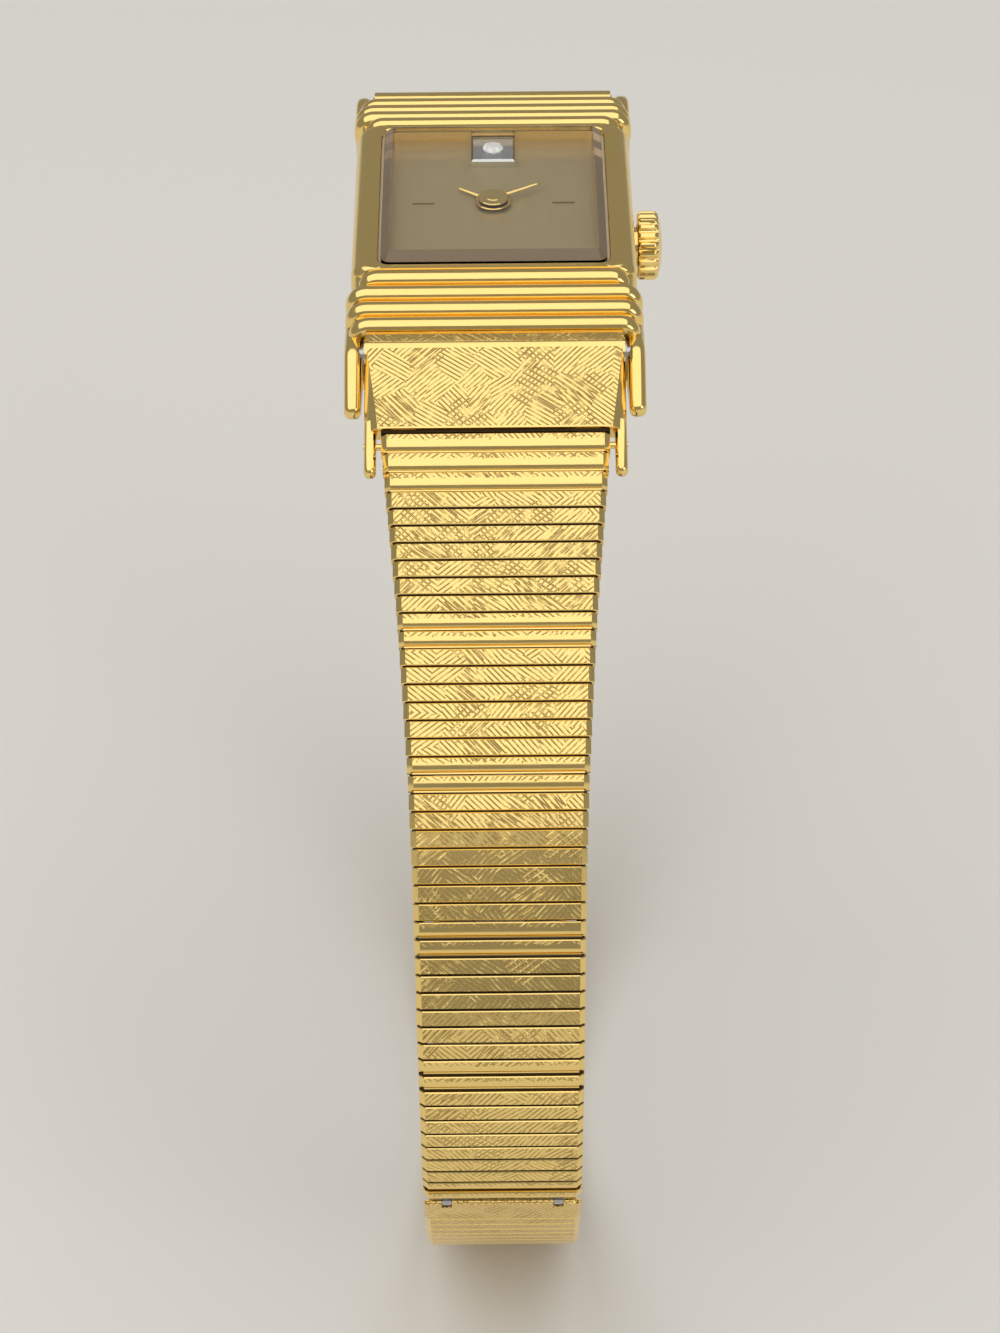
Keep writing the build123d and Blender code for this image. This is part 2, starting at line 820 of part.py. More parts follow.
def make_sliding_pinion():
    """The toothed sliding pinion on the stem."""
    pinion = rod(pinion_radius, pinion_x - pinion_length / 2, pinion_x + pinion_length / 2, 0, stem_z)
    notch = rod(stem_radius / 4, pinion_x - pinion_length, pinion_x + pinion_length)
    for tooth in range(cannon_teeth):
        y, z = polar(pinion_radius, full_turn * tooth / cannon_teeth)
        pinion = pinion - Pos(0, y, stem_z + z) * notch
    return pinion - rod(stem_radius, 0, crown_start, 0, stem_z)


def make_setting_lever():
    """The lever whose pin rides in the stem's groove."""
    high = lever_low + lever_thick
    plate = slab(lever_width, lever_arm, lever_low, high, groove_x, lever_arm / 2)
    plate = plate + disc(lever_width / 2, lever_low, high, groove_x, 0)
    plate = plate + disc(lever_width / 2, lever_low, high, groove_x, lever_arm)
    plate = plate + disc(lever_pin, high, stem_z - stem_groove - sliding, groove_x, 0)
    return plate + disc(lever_pin, high, plate_low, groove_x, lever_arm)


def make_crown():
    """The fluted crown with a shallow dome."""
    end = crown_start + crown_length
    shape = rod(crown_radius, crown_start, end, 0, stem_z)
    dome = Pos(end, 0, stem_z) * Rot(0, 90, 0) * Cone(
        crown_radius - flute_radius, crown_radius / 2, crown_dome,
        align=(Align.CENTER, Align.CENTER, Align.MIN))
    shape = shape + dome
    flute = rod(flute_radius, crown_start - overrun, end - flute_radius, 0, 0)
    for number in range(crown_flutes):
        y, z = polar(crown_radius + flute_radius / 2, full_turn * number / crown_flutes)
        shape = shape - Pos(0, y, stem_z + z) * flute
    return shape - rod(crown_bore, crown_start - overrun, crown_start + crown_bore_depth, 0, stem_z)


def make_crown_gasket():
    """The seal on the stem, inside the tube."""
    ring = rod(tube_bore - running, seal_x, seal_x + seal_length, 0, stem_z)
    return ring - rod(stem_radius + running, seal_x - overrun, seal_x + overrun, 0, stem_z)


def make_spring_bars():
    """The two spring bars that hold the end links between the lugs."""
    body_end = lug_inner - side_room
    bar = rod(bar_radius, -body_end, body_end, bar_y, bar_z)
    tip_end = lug_inner + bar_tip_length
    bar = bar + rod(bar_tip_radius, -tip_end, tip_end, bar_y, bar_z)
    return Compound([bar, Rot(0, 0, half_turn) * bar])


def link_pin_place(droop, first_droop):
    """The link pin's place in the end link's own frame, where it meets the first strip's bore."""
    turn = first_droop - droop
    s, t = step_along(link_length + link_gap, link_barrel - strip_rise, turn, first_pitch / 2)
    return step_out(s, t, turn, strip_rise - link_pin_depth)


def make_end_link(droop, first_droop, side):
    """The broad end link with its barrel, its side wings and the pin between them."""
    low = link_barrel - link_thick
    plate_points = [(0, low), (0, link_barrel), (link_length, link_barrel), (link_length, low)]
    plate = across(side_face(plate_points), link_width)
    plate = chamfer(plate.edges().filter_by(Axis.Y).group_by(Axis.Z)[-1], link_bevel)
    barrel = rod(link_barrel, -link_width / 2, link_width / 2)
    high = link_barrel - wing_top_drop
    wing_end = link_length + wing_reach
    wing_points = [(link_length - link_bevel, low), (link_length - link_bevel, high),
                   (wing_end - wing_round, high), (wing_end, high - wing_round),
                   (wing_end, low + wing_round), (wing_end - wing_round, low)]
    wing_thick = link_width / 2 - wing_inner
    shape = plate + barrel
    for edge in (-1, 1):
        shape = shape + across(side_face(wing_points), wing_thick, edge * (wing_inner + wing_thick / 2))
    shape = shape - rod(bar_radius + running, -link_width, link_width)
    pin = rod(link_pin_radius, -link_width / 2, link_width / 2, *link_pin_place(droop, first_droop))
    shape = shape - pin
    where = place(bar_y, bar_z, droop, side)
    return Compound([where * shape, where * pin])


def strip_profile(pitch, cut):
    """One strip's cross-section along the band: flat, or with a polished cut."""
    start, end = strip_gap / 2, pitch - strip_gap / 2
    foot = [(start, -strip_drop), (start, strip_rise - strip_edge), (start + strip_edge, strip_rise)]
    if not cut:
        return foot + [(end - strip_edge, strip_rise), (end, strip_rise - strip_edge), (end, -strip_drop)]
    land = pitch * cut_land_share
    reach = end - cut_valley - land
    bend_shares = [(0.35, 0.06), (0.62, 0.22), (0.84, 0.55), (1.0, 1.0)]
    slope = [(land + reach * along, strip_rise - cut_depth * down) for along, down in bend_shares]
    return foot + [(land, strip_rise)] + slope + [(end, strip_rise - cut_depth), (end, -strip_drop)]


def staple_face(width):
    """The strip's outline seen along the band: a bevelled bar with a wall at each end."""
    half = width / 2
    under = strip_rise - strip_sheet
    inner = half - strip_side_wall
    points = [(-half, -strip_drop), (-half, strip_rise - strip_side_bevel),
              (strip_side_bevel - half, strip_rise), (half - strip_side_bevel, strip_rise),
              (half, strip_rise - strip_side_bevel), (half, -strip_drop), (inner, -strip_drop),
              (inner, under), (-inner, under), (-inner, -strip_drop)]
    return make_face(Plane.XZ * Polyline(*points, close=True))


def strip_cap(strip):
    """The gold cap of one strip."""
    width = strip_width(strip["number"])
    bar = across(side_face(strip_profile(strip["pitch"], is_cut(strip["number"]))), width)
    cap = bar & extrude(staple_face(width), 2 * strip["pitch"], both=True)
    return cap - link_pin_hole(strip) if strip["number"] == 1 else cap


def knuckle_face(at, rib_middle, bore, rib):
    """A knuckle round a hinge pin, with the web that joins it to its strip's rib."""
    web = Pos((at + rib_middle) / 2, 0) * Rectangle(abs(rib_middle - at), knuckle_radius)
    under = strip_rise - strip_sheet
    spine = Pos(rib_middle, (under - strip_drop) / 2) * Rectangle(rib, under + strip_drop)
    flat = web + spine + Pos(at, 0) * Circle(knuckle_radius) - Pos(at, 0) * Circle(bore)
    return Plane.YZ * flat


def link_pin_hole(strip):
    """The bore through the first strip for the end link's pin."""
    width = strip_width(strip["number"])
    return rod(link_pin_radius + running, -width, width, strip["pitch"] / 2, strip_rise - link_pin_depth)


def strip_carrier(strip, first, last):
    """The steel carrier under one cap: a rib, a middle knuckle and two outer knuckles."""
    width = strip_width(strip["number"]) * carrier_share
    middle = strip["pitch"] / 2
    under = strip_rise - strip_sheet
    rib = first_rib_length if first else rib_length
    body = Pos(0, middle, (under - strip_drop) / 2) * Box(width, rib, under + strip_drop)
    inner = width * knuckle_share
    if not first:
        body = body + across(knuckle_face(0, middle, pin_radius + running, rib), inner)
    if not last:
        outer = (width - inner) / 2 - side_room
        face = knuckle_face(strip["pitch"], middle, pin_radius, rib)
        for edge in (-1, 1):
            body = body + across(face, outer, edge * (width - outer) / 2)
    return body - link_pin_hole(strip) if first else body


def make_section(strips, count, side):
    """A run of strips: each has its cap, its carrier and the hinge pin to the next."""
    solids = []
    for strip in strips:
        first = strip["number"] == 1
        last = side == 0 and strip["number"] == count
        where = place(strip["u"], strip["z"], strip["droop"], side)
        solids.append(where * strip_cap(strip))
        solids.append(where * strip_carrier(strip, first, last))
        if not last:
            half = strip_width(strip["number"]) * carrier_share / 2
            solids.append(where * rod(pin_radius, -half, half, strip["pitch"], 0))
    return Compound(solids)


def clasp_width():
    """The clasp is as wide as the strips beside it."""
    return strip_width(six_strips)


def make_clasp_frame():
    """The clasp's frame: a base plate, two cheeks, the flap's ears and its pin."""
    width = clasp_width()
    end = clasp_length - strip_gap
    middle = (frame_start + end) / 2
    body = Pos(0, middle, frame_top - frame_thick / 2) * Box(
        width - 2 * cheek_inset, end - frame_start, frame_thick)
    cheek_height = frame_top + strip_drop
    for edge in (-1, 1):
        x = edge * (width / 2 - cheek_inset - cheek_thick / 2)
        body = body + Pos(x, middle, frame_top - cheek_height / 2) * Box(
            cheek_thick, end - frame_start, cheek_height)
        x = edge * (width / 2 - ear_inset - ear_width / 2)
        ear = rod(ear_radius, x - ear_width / 2, x + ear_width / 2, flap_axis_s, strip_rise - flap_barrel)
        reach = frame_start + ear_radius - flap_axis_s
        web = Pos(x, flap_axis_s + reach / 2, frame_top - frame_thick / 2) * Box(
            ear_width, reach, frame_thick)
        neck_height = strip_rise - flap_barrel - frame_top + frame_thick / 2
        neck = Pos(x, flap_axis_s, frame_top - frame_thick / 2 + neck_height / 2) * Box(
            ear_width, ear_radius, neck_height)
        body = body + ear + web + neck
    inner = width * carrier_share * knuckle_share
    knuckle = Rectangle(frame_start, knuckle_radius, align=(Align.MIN, Align.CENTER))
    knuckle = knuckle + Circle(knuckle_radius) - Circle(pin_radius + running)
    body = body + across(Plane.YZ * knuckle, inner)
    window_length = hook_length + 2 * window_room + window_room
    window = Pos(0, hook_start - window_room * 2 + window_length / 2, 0) * Box(
        hook_width + 2 * window_room, window_length, 2 * strip_drop)
    body = body - window
    half_pin = width / 2 - cheek_inset
    pin = rod(flap_pin, -half_pin, half_pin, flap_axis_s, strip_rise - flap_barrel)
    body = body - pin
    where = place(*clasp_start(), clasp_droop, 1)
    return Compound([where * body, where * pin])


def clasp_start():
    """Where the clasp meets the last strip of the six o'clock half."""
    _, u, z = six_half()
    return u, z


def make_clasp_flap():
    """The flap: a broad plate on a barrel hinge, with a hook under its free edge."""
    width = clasp_width()
    end = clasp_length - strip_gap / 2
    low = strip_rise - flap_thick
    axis_z = strip_rise - flap_barrel
    body = Pos(0, (flap_axis_s + end) / 2, (low + strip_rise) / 2) * Box(
        width, end - flap_axis_s, flap_thick)
    edges = body.edges().filter_by(Axis.Y).group_by(Axis.Z)[-1]
    body = chamfer(edges, flap_thick - sliding)
    barrel_half = width / 2 - cheek_inset
    body = body + rod(flap_barrel, -barrel_half, barrel_half, flap_axis_s, axis_z)
    hook_low = tongue_top + sliding
    hook = Pos(0, hook_start + hook_length / 2, (low + hook_low) / 2) * Box(
        hook_width, hook_length, low - hook_low)
    body = body + hook - rod(flap_pin + running, -width, width, flap_axis_s, axis_z)
    for edge in (-1, 1):
        x = edge * (width / 2 - ear_inset - ear_width / 2)
        notch = ear_width + 2 * sliding
        length = flap_barrel + frame_start
        body = body - Pos(x, frame_start + sliding - length / 2, axis_z) * Box(
            notch, length, 2 * strip_rise)
    return place(*clasp_start(), clasp_droop, 1) * body


def make_clasp_tongue():
    """The ladder tongue of the twelve o'clock half, which lies under the clasp's frame."""
    strips, _ = twelve_half()
    last = strips[-1]
    half_width = clasp_width() / 2 - cheek_inset - cheek_thick - 1.5 * side_room
    start = (last["pitch"] + rib_length) / 2
    end = last["pitch"] + tongue_reach
    low = tongue_top - tongue_thick
    body = Pos(0, (start + end) / 2, (tongue_top + low) / 2) * Box(2 * half_width, end - start, tongue_thick)
    body = fillet(body.edges().filter_by(Axis.Z).group_by(Axis.Y)[-1], tongue_thick * 2)
    hook_from_end = clasp_length - hook_start - hook_length / 2
    for number in (0, 1):
        y = last["pitch"] + hook_from_end + number * tongue_step
        length = hook_length + 2 * window_room
        body = body - Pos(0, y, low) * Box(hook_width + 2 * window_room, length, overrun)
    return place(last["u"], last["z"], last["droop"], 0) * body


def make_all():
    """Every node of the watch by name."""
    twelve_strips, twelve_droop = twelve_half()
    six_strips_laid, _, _ = six_half()
    nodes = {
        "case_middle": make_case_middle(),
        "case_back": make_case_back(),
        "back_gasket": make_back_gasket(),
        "crystal": make_crystal(),
        "crystal_gasket": make_crystal_gasket(),
        "dial": make_dial(),
        "stone_setting": make_stone_setting(),
        "stone": make_stone(),
        "minute_hand": hand(minute_length, minute_hub, cannon_radius, minute_low, minute_angle),
        "hour_hand": hand(hour_length, hour_hub, hour_tube_radius, hour_low, hour_angle),
        "centre_wheel": make_centre_wheel(),
        "third_wheel": make_third_wheel(),
        "intermediate_wheel": make_intermediate_wheel(),
        "rotor": make_rotor(),
        "minute_wheel": make_minute_wheel(),
        "hour_wheel": make_hour_wheel(),
        "movement_ring": make_movement_ring(),
        "main_plate": make_main_plate(),
        "train_bridge": make_train_bridge(),
        "bridge_screws": make_bridge_screws(),
        "stator": make_stator(),
        "coil_winding": make_coil(),
        "coil_core": make_coil_core(),
        "battery": make_battery(),
        "battery_clamp": make_battery_clamp(),
        "circuit_board": make_circuit_board(),
        "quartz_can": make_quartz_can(),
        "winding_stem": make_winding_stem(),
        "sliding_pinion": make_sliding_pinion(),
        "setting_lever": make_setting_lever(),
        "crown": make_crown(),
        "crown_gasket": make_crown_gasket(),
        "spring_bars": make_spring_bars(),
        "end_link_12": make_end_link(twelve_droop, twelve_strips[0]["droop"], 0),
        "end_link_6": make_end_link(six_droop, six_strips_laid[0]["droop"], 1),
        "clasp_frame": make_clasp_frame(),
        "clasp_flap": make_clasp_flap(),
        "clasp_tongue": make_clasp_tongue(),
    }
    halves = [("links_12", twelve_strips, twelve_sections, 0), ("links_6", six_strips_laid, six_sections, 1)]
    for name, strips, sizes, side in halves:
        start = 0
        for number, size in enumerate(sizes, start=1):
            nodes[f"{name}_{number:02d}"] = make_section(strips[start:start + size], len(strips), side)
            start += size
    return nodes


if __name__ == "__main__":
    os.makedirs("parts", exist_ok=True)
    for node, shape in make_all().items():
        export_step(shape, f"parts/{node}.step")
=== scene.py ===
import math

import bpy
import numpy as np
from bpy.props import FloatProperty, FloatVectorProperty, IntProperty, PointerProperty
from mathutils import Matrix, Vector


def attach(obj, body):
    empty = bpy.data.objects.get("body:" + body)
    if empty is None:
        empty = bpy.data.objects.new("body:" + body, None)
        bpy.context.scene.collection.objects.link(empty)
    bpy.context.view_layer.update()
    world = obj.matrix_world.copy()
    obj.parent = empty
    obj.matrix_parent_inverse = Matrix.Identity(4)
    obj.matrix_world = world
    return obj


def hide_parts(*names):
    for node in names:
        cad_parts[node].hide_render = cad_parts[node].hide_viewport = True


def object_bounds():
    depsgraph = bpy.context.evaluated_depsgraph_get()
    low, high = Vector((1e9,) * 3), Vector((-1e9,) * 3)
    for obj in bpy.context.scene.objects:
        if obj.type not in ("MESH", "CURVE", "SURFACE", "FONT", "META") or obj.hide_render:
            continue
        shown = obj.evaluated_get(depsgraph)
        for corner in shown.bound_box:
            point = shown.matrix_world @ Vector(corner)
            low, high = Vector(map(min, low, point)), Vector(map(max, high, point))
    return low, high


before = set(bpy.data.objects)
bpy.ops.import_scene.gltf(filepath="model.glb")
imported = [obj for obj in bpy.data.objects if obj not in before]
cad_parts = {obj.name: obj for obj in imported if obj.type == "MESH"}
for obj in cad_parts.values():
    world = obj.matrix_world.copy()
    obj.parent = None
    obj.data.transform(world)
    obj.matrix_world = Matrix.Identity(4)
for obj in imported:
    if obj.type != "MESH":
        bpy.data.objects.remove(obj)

bl_info = {
    "name": "Ribbed rectangular watch",
    "version": (1, 0, 0),
    "blender": (4, 5, 0),
    "location": "3D View > Sidebar > Watch",
    "description": "Dresses a rectangular watch and its strip bracelet over the packed frame",
    "category": "Object",
}

# The model is worked out in millimetres and put into the meshes in metres.
MM = 0.001
CAD_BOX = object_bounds()

# Case, ribs and what they hold, in millimetres as all sizes here
CASE_WIDTH = 17.0
RIM_LENGTH = 16.7
END_LENGTH = 26.4
END_WIDTH = 16.5
END_TOPS = (5.6, 4.9)
BACK_THICK = 0.75
RIM_TOP = 6.1
RIM_ROUND = 1.1
RIM_EDGE = 0.06
RIM_STEPS = 10
CORNER_POINTS = 8
CORNER_ROUND = 0.7
SEAT_SIZE = (13.78, 15.78)
LIP_SIZE = (12.7, 14.7)
CAVITY_SIZE = (13.2, 15.2)
GASKET_SIZE = (14.1, 16.1)
GASKET_TOP = 1.05
CAVITY_ROUND = 0.5
LUG_ROOT = 11.6
LUG_ROOT_TOP = 4.3
LUG_BAR_TOP = 4.5
LUG_INNER = 7.75
LUG_THICK = 1.0
LUG_ROUND = 0.4
LUG_TIP_ALONG = 3.4
LUG_TIP_ABOVE = -0.45
LUG_TIP_RADIUS = 0.62
LUG_TIP_ARC = (55, -115, 9)
LUG_SHOULDER = ((-0.4, 0.0), (0.1, -0.03), (0.6, -0.2))
LUG_FOOT = -0.6
TUBE_RADIUS = 1.15
TUBE_BORE = 0.75
TUBE_END = 9.5
TUBE_POINTS = 32
RIB_FIRST = 8.9
RIB_PITCH = 1.27
RIB_CORNER = 1.25
RIB_DEPTH = 2.9
RIB_TOP_FIRST = 6.2
RIB_TOP_LAST = 5.4
RIB_WIDTHS = (16.2, 17.5, 17.5, 17.1)
RIB_STEPS = 9
RIB_CORNER_POINTS = 14
CRYSTAL_LOW = 5.45
CRYSTAL_CORNER = 0.6
CRYSTAL_SOFT = 0.03
CLEAR = 0.012
DIAL_TOP = 4.7
MARK_LOW = 0.02
SETTING_Y = 5.75
SETTING_HEIGHT = 0.5
STONE_FACETS = 8
STONE_RADIUS = 0.65
# The stone's rings: radius, height over its setting, and how far its facets swing out and lift
STONE_ROWS = ((0.14, CLEAR - 0.35, 0.0, 0.0), (0.42, -0.15, 0.02, 0.0),
              (STONE_RADIUS - CLEAR, CLEAR, 0.0, 0.0), (STONE_RADIUS - CLEAR, 3 * CLEAR, 0.0, 0.0),
              (0.53, 0.12, 0.05, 0.02), (0.36, 0.2, 0.02, 0.0))

# Hands: the heights of the disc's soft edge and of the baton's ridge are shares of the thickness
MINUTE_LOW = 5.08
HOUR_LOW = 4.86
HAND_THICK = 0.12
MINUTE_BORE = 0.05
HOUR_BORE = 0.42
DISC_POINTS = 48
DISC_EDGE = 0.35
# The minute disc's button: radius as a share of the disc's, and height over the disc, then its tip
BUTTON = ((0.55, 0.01), (0.5, 0.05))
BUTTON_TIP = (0.04, 0.06)
# The baton starts at a share of the disc's radius and narrows from a share of the hand's length
BATON_START = 0.5
BATON_MIDDLE = 0.75
BATON_HALVES = (0.17, 0.105, 0.085, 0.03)
BATON_RIDGE = (0.0, 0.55, 0.95, 0.55, 0.0)
BATON_ENDS = (1, 1, 1, 0.7)
BATON_TIP = 0.12

# Crown: a flute's valley is a share less a swing times the cosine round the crown, cut off at nought
STEM_Z = 2.3
CROWN_START = 8.8
CROWN_LENGTH = 1.3
CROWN_BORE = 1.3
CROWN_BORE_DEPTH = 1.05
CROWN_SOCKET = 0.45
# The crown's profile: from its outer radius in, from its start or end on, and the share of the flutes' depth
CROWN_NEAR = ((-0.3, 0.0, 0), (-0.12, 0.05, 0.5), (0.0, 0.18, 1))
CROWN_FAR = ((0.0, -0.32, 1), (-0.06, -0.16, 0.8), (-0.2, -0.03, 0.2), (-0.34, 0.0, 0), (-0.42, 0.02, 0))
# The dome on its end: radius and height
CROWN_DOME = ((1.35, 0.13), (0.8, 0.21), (0.1, 0.25))
FLUTE_POINTS = 10
FLUTE_SHARE = 0.35
FLUTE_SWING = 0.9

# Where the camera stands, and its turn, its tilt down and its roll in degrees
CAMERA_PLACE = (0.02, -189.16, 120.27)
CAMERA_ANGLES = (-0.04, 38.6, -0.5)
SENSOR_HEIGHT = 36.0
VIEW_REACH = (0.01, 10.0)

# Bracelet
BAR_Y = 14.32
BAR_Z = 4.0
BORE = 0.64
BORE_ROOM = 0.02
LINK_BARREL = 0.9
LINK_THICK = 1.3
LINK_LENGTH = 5.5
LINK_WIDTH = 15.1
LINK_GAP = 0.25
LINK_LIPS = (0.3, 0.98)
# The lip's outline: a place along, plus a share of the lip's length, and a height
LIP_CURVE = ((0.0, -1.0, 0.44), (0.0, -1.0, 0.6), (0.14, -0.95, 0.68), (0.1, -0.62, 0.79),
             (0.06, -0.25, 0.87))
LIP_END = 0.45
LINK_SOFT = 0.12
LINK_SOFT_MIDDLE = (0.03, 0.05)
# The plate's bevel from its foot up: a share of the bevel's width, and how far below the top
LINK_FALL = ((0.0, 0.72), (0.06, 0.6), (0.5, 0.3), (0.9, 0.06), (1.0, 0.0))
LINK_PIN = 0.2
LINK_PIN_DEPTH = 0.7
LINK_PIN_PROUD = 0.03
ROUND_POINTS = 28
WING_INNER = 6.85
WING_REACH = 2.8
WING_TOP_DROP = 0.15
WING_BACK = 0.7
WING_ROUND = 0.5
WING_SOFT = 0.32
WING_STEPS = 5
LINK_UNDER = (0.0, 135.0, 7)
SOFT_STEPS = 4
STRIP_PITCH = 1.018
FIRST_PITCH = 1.186
STRIP_GAP = 0.1
STRIP_RISE = 0.5
STRIP_DROP = 0.75
STRIP_EDGE = 0.05
STRIP_SHEET = 0.24
STRIP_WALL = 0.55
CUT_LAND_SHARE = 0.42
CUT_VALLEY = 0.08
# A polished cut falls from the land's end by these shares of its depth at these shares of its reach
CUT_ALONG = (0.35, 0.62, 0.84, 1.0)
CUT_DOWN = (0.06, 0.22, 0.55, 1.0)
BAND_WIDTHS = (13.3, 9.2)
# The share of the narrowing that is reached at strips counted from the head
TAPER_AT = (0, 5, 8, 10, 15, 20, 25, 30, 40, 50)
TAPER_SHARE = (0.0, 0.24, 0.37, 0.46, 0.62, 0.76, 0.85, 0.9, 0.97, 1.0)
CARRIER_SHARE = 0.7
KNUCKLE_SHARE = 0.4
KNUCKLE_RADIUS = 0.22
PIN_RADIUS = 0.11
KNUCKLE_POINTS = 6
RIB_LENGTH = 0.5
FIRST_RIB_LENGTH = 0.86
SIDE_ROOM = 0.1

# Dark bars of painted shade in the gaps between strips, and between an end link's plate and its first strip
SHADE_BAR_HALF = 0.07
SHADE_BAR_INSET = 0.09
SHADE_BAR_LOW = -0.68
SHADE_BAR_TOP = 0.25
SHADE_BAR_END_HALF = 0.1
SHADE_BAR_END_PAST = 0.03
SHADE_BAR_START_TOP = -0.3
SHADE_BAR_START_NEAR = 0.015
SHADE_BAR_START_FAR = 0.12
SHADE_BAR_LINK_NEAR = -0.2
SHADE_BAR_LINK_TOP = -0.35
SHADE_BAR_PLATE = ((-0.05, 0.12), (0.15, 0.6))

# Which strips have a polished cut: the first ones, then pairs at an even spacing
WIDE_CUTS = 3
FIRST_CUT = 11
CUT_SPACING = 8.5
CUT_COUNT = 10

# How the band hangs: droops in degrees at strips counted from the head, and strips in each section
SIX_DROOP = 25.0
SIX_STRIPS = 46
SIX_AT = (0, 4, 9, 14, 20, 26, 31, 36, 41, 46)
SIX_BENDS = (31.0, 34.9, 38.7, 42.5, 47.7, 55.5, 65.5, 76.8, 89.6, 104.0)
SIX_SECTIONS = (11, 8, 8, 7, 5, 4, 3)
CLASP_DROOP = 112.0
CLASP_LENGTH = 2.74
TWELVE_DROOP = 81.8
TWELVE_STRIPS = 96
TWELVE_AT = (0, 20, 34, 48, 62, 72, 78, 84, 90, 96)
TWELVE_BENDS = (82.5, 106.6, 122.9, 141.5, 165.4, 187.1, 202.3, 218.4, 234.0, 246.5)
TWELVE_SECTIONS = (16, 24, 14, 14, 12, 10, 6)
CLOSING_ROUNDS = 20
CLOSING_STEP = 0.001

# How far apart the two halves lie in the engraving's pattern, so that it doesn't repeat, in millimetres
STRIP_SHIFT = 200
LINK_SHIFT = 80

# Engraving: lean of the lines in radians, the part of a wave that is cut, the second set's spacing and patch
# against the first's and the share of it that stays bare, the shake of the hand, the noise over which the
# tool presses harder, how near to a cut the lines reach, how far painted shade darkens the grooves, and their
# roughness
HATCH_LEAN = (0.66, 1.0)
HATCH_CREST = (0.45, 1.0)
HATCH_SEED = 7.3
HATCH_WIDER = 1.35
HATCH_LARGER = 1.2
HATCH_BARE = 0.65
HATCH_SHAKE = 0.05
HATCH_PRESS = (0.36, 0.56)
HATCH_REACH = (0.45, 0.95)
GROOVE_SHARE = 0.62
HATCH_ROUGHNESS = (0.15, 0.22)
# The range in which most values of a noise lie, and how a brushed finish stretches it
NOISE_SPREAD = (0.3, 0.7)
BRUSH_ALONG = 0.25
BRUSH_ACROSS = 9.0


def linear(text):
    """A colour written as six hex digits, turned from screen values to light values."""
    shares = np.array([int(text[i:i + 2], 16) for i in (1, 3, 5)]) / 255
    light = np.where(shares <= 0.04045, shares / 12.92, ((shares + 0.055) / 1.055) ** 2.4)
    return tuple(float(value) for value in light)


def size(name, description, value_mm):
    """A length that a user may change, in metres, from its value in millimetres."""
    return FloatProperty(name=name, description=description, default=value_mm * MM, min=0.0,
                         precision=5, unit="LENGTH", subtype="DISTANCE")


def tint(name, description, text):
    """A colour that a user may change, from its hex digits."""
    return FloatVectorProperty(name=name, description=description, default=linear(text), size=3,
                               min=0.0, max=1.0, subtype="COLOR")


class WatchHead(bpy.types.PropertyGroup):
    """Sizes of the head's visible pieces."""
    rib_thick: size("Rib thickness", "Thickness of one half-round rib along the case", 1.16)
    rib_round: size("Rib rounding", "Radius of a rib's long edges", 0.52)
    crystal_width: size("Crystal width", "Width of the glass across the case", 13.5)
    crystal_length: size("Crystal length", "Length of the glass along the case", 15.5)
    crystal_thick: size("Crystal thickness", "Thickness of the glass", 1.2)
    crystal_bevel: size("Crystal bevel", "Width of the polished bevel round the glass", 0.5)
    minute_length: size("Minute hand", "Length of the minute hand from its centre", 3.4)
    minute_hub: size("Minute hub", "Radius of the minute hand's disc", 0.92)
    hour_length: size("Hour hand", "Length of the hour hand from its centre", 2.6)
    hour_hub: size("Hour hub", "Radius of the hour hand's disc", 1.1)
    crown_radius: size("Crown radius", "Radius of the crown over its flutes", 2.12)
    flute_depth: size("Flute depth", "Depth of the crown's flutes", 0.17)
    flutes: IntProperty(name="Flutes", description="Number of flutes round the crown", default=22, min=8)
    minute_angle: FloatProperty(name="Minute hand's bearing", description="Turn clockwise from twelve",
                                default=math.radians(60), subtype="ANGLE", unit="ROTATION")
    hour_angle: FloatProperty(name="Hour hand's bearing", description="Turn clockwise from twelve",
                              default=math.radians(305), subtype="ANGLE", unit="ROTATION")


class WatchBand(bpy.types.PropertyGroup):
    """Sizes of the bracelet's visible pieces."""
    side_bevel: size("Side bevel", "Width of the polished bevel at the strips' ends", 0.32)
    cut_depth: size("Cut depth", "Depth of the polished cuts across the band", 0.22)
    link_bevel: size("End link bevel", "Width of the bevel beside the end link's plate", 0.12)
    link_taper: size("End link taper", "How much wider the bevel is at the link's far end", 0.72)


class WatchFinish(bpy.types.PropertyGroup):
    """Colours and textures of the visible finishes."""
    gold: tint("Polished gold", "Colour of the polished gold plate", "#F8D98A")
    # painted shade: the gold in engraved lines is drawn darker for the shade that falls in them
    groove_shade: tint("Painted shade in grooves", "Darker gold painted in engraved lines as shade", "#B98F45")
    dial: tint("Dial", "Colour of the satin dial", "#BBA87E")
    steel: tint("Steel", "Colour of bare steel", "#C4C4C6")
    hatch_spacing: size("Hatch spacing", "Distance between two engraved lines", 0.25)
    hatch_cell: size("Hatch patch", "Size of a patch of lines that run one way", 1.7)
    hatch_depth: size("Hatch depth", "Depth of the engraved lines", 0.05)


class WatchStage(bpy.types.PropertyGroup):
    """The floor, the lamps and the camera."""
    floor_size: size("Floor", "Width of the floor", 6000.0)
    floor_colour: tint("Floor colour", "Colour of the plain floor", "#F1EFEA")
    sky: FloatProperty(name="Sky", description="Strength of the even light from all sides",
                       default=0.29, min=0.0)
    key_power: FloatProperty(name="Key lamp", description="Power of the broad lamp above", default=4.5,
                             min=0.0, unit="POWER")
    fill_power: FloatProperty(name="Fill lamp", description="Power of the lamp at the front", default=0.35,
                              min=0.0, unit="POWER")
    focal_length: FloatProperty(name="Focal length", description="Lens over a 36 mm tall picture",
                                default=97.22, min=10.0, unit="CAMERA")


def millimetres(value):
    """A length property in millimetres."""
    return value / MM


# Shapes: each is a dict of points, four-cornered faces, many-cornered faces, flat places, finishes and
# edge values

